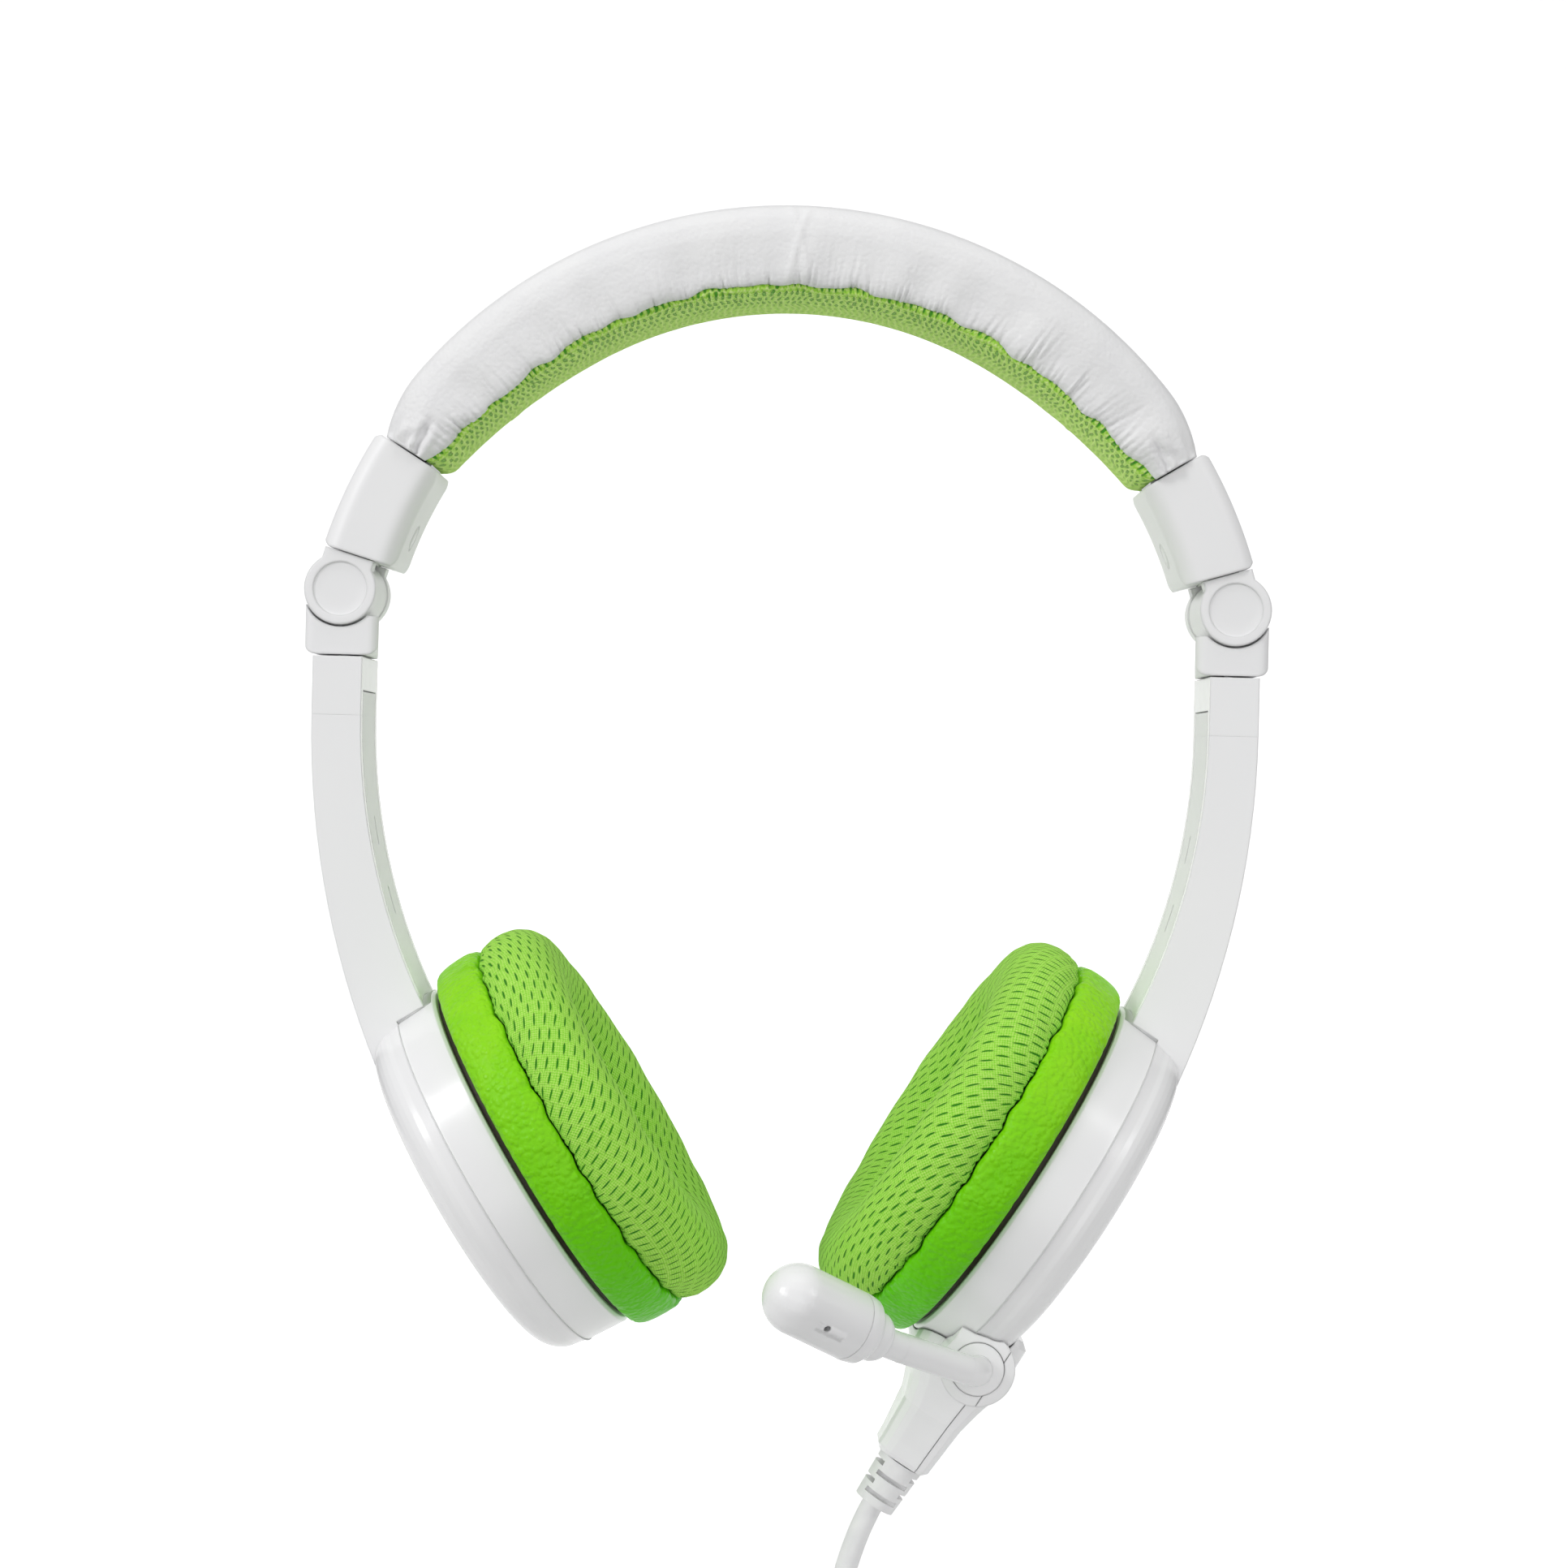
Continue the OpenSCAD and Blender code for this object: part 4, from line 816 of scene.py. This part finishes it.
def make_face(side, word):
    """The knitted front of a cushion, round the hole in its middle."""
    more = 0.75 if side < 0 else 0.35  # how much further than its base form it is stuffed
    profile = [
        (13.6, FACE_FOOT), (31.6, 9.2), (32.5, 9.3), (33.15, 10.1), (33.65, 11.8), (33.7, 13.6),
        (33.2, 15.6 + more * 0.5), (31.8, 17.5 + more * 0.8), (29.4, 18.95 + more),
        (26.4, 19.4 + more), (23.2, 19.1 + more), (20.2, 18.1 + more * 0.8),
        (17.4, 16.3 + more * 0.5), (15.4, 14.0), (14.2, 11.8), (13.6, FACE_FOOT),
    ]
    hidden = 17.0  # length of the underside
    crest_r, hole_to, seam_from, foot_from = 26.4, 22, 30.9, 30.5  # radii
    seam_marks = tucks(230, ALL_ROUND, reach=(1.5, 8.5), width=(0.18, 0.4), depth=(0.1, 0.3),
                       lean=0.5)
    hole_marks = tucks(40, ALL_ROUND, reach=(1.5, 5), width=(0.5, 1.2), depth=(0.1, 0.3),
                       lean=0.3)

    def shape(grid, along, at):
        above_seam = np.where(grid[..., 0] > seam_from, at - hidden - 0.7, FAR_OFF)
        above_hole = np.where(grid[..., 0] < hole_to, grid[..., 1] - FACE_FOOT, FAR_OFF)
        puff = round_wave(along, ((11, 0.07, 0.9), (19, 0.05, 0.2), (4, 0.08, 1.0)))
        drawn = (crease_depth(along, above_seam, seam_marks)
                 + crease_depth(along, above_hole, hole_marks))
        grid = push_out(grid, puff * smooth(grid[..., 1], 9.4, 12) - drawn)
        near_seam = bell(grid[..., 1] - FACE_FOOT, 1.2) * (grid[..., 0] > foot_from)
        grid[..., 1] += round_wave(along, SCALLOPS) * near_seam
        return grid

    def unroll(section, at):
        crest = at[np.argmax(section[:, 1])]
        return crest_r + crest - np.where(at > hidden, at, 0)

    made = ring_piece(word + "_cushion_knit", side, profile, FACE_STEPS, shape, ear_knit[side],
                      unroll)
    ride_all(made, word + "_earpiece", word + "_cushion_face")


for side, word in SIDES:
    make_rim(side, word)
    make_face(side, word)

# ---------- small parts ----------

TURNED_STEPS = 96
SEAL_STEPS = 180
# White strips just under the surface of a cup, as (radius, height), that close its joints so that
# they read as fine moulded lines: between the cup's two halves, and under the end of the arm.
CUP_SEAL = [(29.3, -7.01), (CUP_R - 0.2, -7.01), (CUP_R - 0.2, -7.09), (29.3, -7.09)]
ARM_SEAL = [(CUP_R - 0.01, -0.6), (CUP_R + 0.13, -0.6), (CUP_R + 0.13, -6.95),
            (CUP_R - 0.38, -6.95)]
ARM_SEAL_HALF = math.asin((ARM_DEPTH / 2 - 0.15) / (CUP_R + 0.1))
PORT_TURN = 64  # degrees about the capsule's axis
WELD = 0.000001  # metres
SKIN_VOXEL = 0.00016  # metres


def turned(name, centre, axis, profile):
    """A turned piece of white plastic from (radius, height along the axis) pairs."""
    a = np.linspace(0, 2 * math.pi, TURNED_STEPS, endpoint=False)[:, None]
    axis = Vector(axis).normalized()
    u = axis.orthogonal().normalized()
    v = axis.cross(u)
    ring = np.cos(a) * np.array(u) + np.sin(a) * np.array(v)
    rows = [np.array(centre) + h * np.array(axis) + r * ring for r, h in profile]
    faces = grid_faces(len(rows), TURNED_STEPS)
    made = piece_from(name, np.vstack(rows), faces, satin_white)
    turn_outwards(made)
    return made


def make_caps(word):
    """The two cover caps of a hinge: flat discs with a soft, low bead that covers the joint with
    the ear."""
    low, high = (np.array(v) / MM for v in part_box(word + "_hinge_caps"))
    middle = (low + high) / 2
    r = (high[0] - low[0]) / 2
    profile = [
        (0.3, -0.02), (r - 1.5, -0.02), (r - 1.0, 0.0), (r - 0.6, 0.05), (r - 0.2, 0.12),
        (r + 0.15, 0.15), (r + 0.45, 0.13), (r + 0.75, 0.07), (r + 0.8, -0.02), (r - 0.1, -0.3),
        (r - 0.6, -0.58),
    ]
    for end, y, way in (("front", low[1], -1), ("back", high[1], 1)):
        cap = turned(f"{word}_hinge_cap_{end}", (middle[0], y, middle[2]), (0, way, 0), profile)
        ride_all(cap, "headband", word + "_hinge_caps")


def make_plug(side, word):
    """Flush plug over the screw on the inner side of a sleeve."""
    a = math.radians(SCREW_AT)
    outwards = np.array([side * math.sin(a), 0, math.cos(a)])
    place = SLEEVE_IN * outwards - np.array([0, 0, BAND_R])
    profile = [(0.2, 0.04), (1.7, 0.04), (1.98, 0.0), (2.11, -0.1), (2.11, -0.22), (0.2, -0.22)]
    plug = turned(word + "_sleeve_plug", place, -outwards, profile)
    ride_all(plug, "headband")


def make_seal(side, word, name, section, half):
    """A strip round a cup that spans an angle of half on either side of the top."""
    shut = half == math.pi
    angle = math.pi + np.linspace(-half, half, SEAL_STEPS, endpoint=not shut)
    grid = np.repeat(np.array(section)[None], len(angle), 0)
    points = cup_point(side, grid[..., 0], angle[:, None], grid[..., 1]).reshape(-1, 3)
    faces = grid_faces(len(angle), len(section), shut)
    made = piece_from(f"{word}_{name}", points, faces, satin_white)
    turn_outwards(made)
    ride_all(made, word + "_earpiece")


def middle_of(piece):
    """The middle of a piece's skin; for a turned piece it lies on the axis."""
    mesh = piece.data
    area = np.empty(len(mesh.polygons))
    centre = np.empty(len(mesh.polygons) * 3)
    mesh.polygons.foreach_get("area", area)
    mesh.polygons.foreach_get("center", centre)
    return Vector((centre.reshape(-1, 3) * area[:, None]).sum(0) / area.sum())


def make_capsule():
    """The microphone's capsule, turned about its own axis until its port faces down and
    forward."""
    source = nodes["capsule_shell"]
    made = bpy.data.objects.new("capsule", source.data.copy())
    bpy.context.collection.objects.link(made)
    middle = middle_of(source)
    axis = (middle_of(nodes["capsule_cap"]) - middle).normalized()
    turn = Matrix.Rotation(math.radians(PORT_TURN), 4, axis)
    bpy.ops.object.select_all(action="DESELECT")
    made.select_set(True)
    bpy.context.view_layer.objects.active = made
    bpy.ops.object.mode_set(mode="EDIT")
    bpy.ops.mesh.select_all(action="SELECT")
    bpy.ops.mesh.remove_doubles(threshold=WELD)
    bpy.ops.object.mode_set(mode="OBJECT")
    made.data.transform(Matrix.Translation(middle) @ turn @ Matrix.Translation(-middle))
    # An even skin, so that the rim of the small port shades cleanly.
    made.data.remesh_voxel_size = SKIN_VOXEL
    bpy.ops.object.voxel_remesh()
    bpy.ops.object.shade_smooth()
    ride_all(made, "microphone_boom", "capsule_shell")


for side, word in SIDES:
    make_caps(word)
    make_plug(side, word)
for side, word in SIDES:
    make_seal(side, word, "cup_seal", CUP_SEAL, math.pi)
    make_seal(side, word, "arm_seal", ARM_SEAL, ARM_SEAL_HALF)
make_capsule()

# ---------- floor and light, in metres ----------

PAPER_HALF_WIDTH = 0.64
PAPER_FLOOR = (-0.1, 0.3, 0.6)
PAPER_BACK = 1.6
PAPER_BEND, BEND_STEPS = 0.5, 24
PAPER_TOP = 0.88
FLOOR_GAP = 0.0005
LIGHTS = {  # place, aim, size, power in watts
    "key_light": ((-0.8, -0.62, 0.42), (0, 0, -0.1), (0.2, 0.4), 3.2),
    "fill_light": ((0.8, -0.62, 0.3), (0, 0, -0.1), (0.16, 0.4), 0.95),
    "top_light": ((0, -0.3, 0.75), (0, 0, -0.05), (0.9, 0.4), 0.6),
    "front_light": ((0.1, -1.0, -0.2), (0, 0, -0.12), (0.7, 0.7), 1.15),
}


def make_paper():
    """Pale paper that runs from the floor up behind the object in one sweep."""
    floor_z = min(v[2] for v in cad_box) - FLOOR_GAP
    section = [(y, 0.0) for y in PAPER_FLOOR]
    section += [
        (PAPER_BACK - PAPER_BEND + PAPER_BEND * math.sin(t), PAPER_BEND - PAPER_BEND * math.cos(t))
        for t in np.linspace(0, math.pi / 2, BEND_STEPS)
    ]
    section.append((PAPER_BACK, PAPER_TOP))
    points = [(x, y, z + floor_z) for x in (-PAPER_HALF_WIDTH, PAPER_HALF_WIDTH)
              for y, z in section]
    k = len(section)
    mesh = bpy.data.meshes.new("studio_paper")
    mesh.from_pydata(points, [], [(j, j + 1, k + j + 1, k + j) for j in range(k - 1)])
    mesh.shade_smooth()
    material, shader = new_material(
        "matt_white_paper", Roughness=0.9, Emission_Color=(1, 1, 1, 1))
    place = own_place(material)
    grain = grain_noise(material, place, 40, 3)
    dress(
        material, shader,
        Base_Color=ramp(material, grain, [(0.3, "#fbfbfb"), (0.7, "#fefefe")]),
        # Lit through from behind where it rises, so that it comes out pure white.
        Emission_Strength=carry(material, split(material, place)[1], 0.1, 0.35, 0.0, 0.38),
    )
    mesh.materials.append(material)
    paper = bpy.data.objects.new("studio_paper", mesh)
    bpy.context.collection.objects.link(paper)


def make_room():
    """A white room that is brightest above the camera and to its left. Where no paper stands
    behind the object, the room itself looks white."""
    world = bpy.data.worlds.new("studio")
    bpy.context.scene.world = world
    world.use_nodes = True
    background = world.node_tree.nodes["Background"]
    sky = add(world, "TexCoord").outputs["Generated"]
    sockets = {0: sky, 1: (-0.12, -0.4, 0.9)}
    towards = add(world, "VectorMath", {"operation": "DOT_PRODUCT"}, sockets).outputs["Value"]
    glow = carry(world, towards, -0.55, 0.55, 0.09, 0.65, eased=True)
    seen = add(world, "LightPath").outputs["Is Camera Ray"]
    background.inputs["Color"].default_value = (1, 1, 1, 1)
    dress(world, background, Strength=maths(world, "MAXIMUM", glow, seen))


def soft_box(name, place, aim, size, power):
    """A rectangular lamp that faces the point it aims at."""
    bpy.ops.object.light_add(type="AREA", location=place)
    lamp = bpy.context.object
    lamp.name = name
    lamp.data.shape = "RECTANGLE"
    lamp.data.size, lamp.data.size_y = size
    lamp.data.energy = power
    lamp.rotation_mode = "QUATERNION"
    lamp.rotation_quaternion = (Vector(aim) - Vector(place)).to_track_quat("-Z", "Y")


make_paper()
make_room()
for name, settings in LIGHTS.items():
    soft_box(name, *settings)
bpy.context.scene.view_settings.view_transform = "Standard"

bpy.context.view_layer.update()
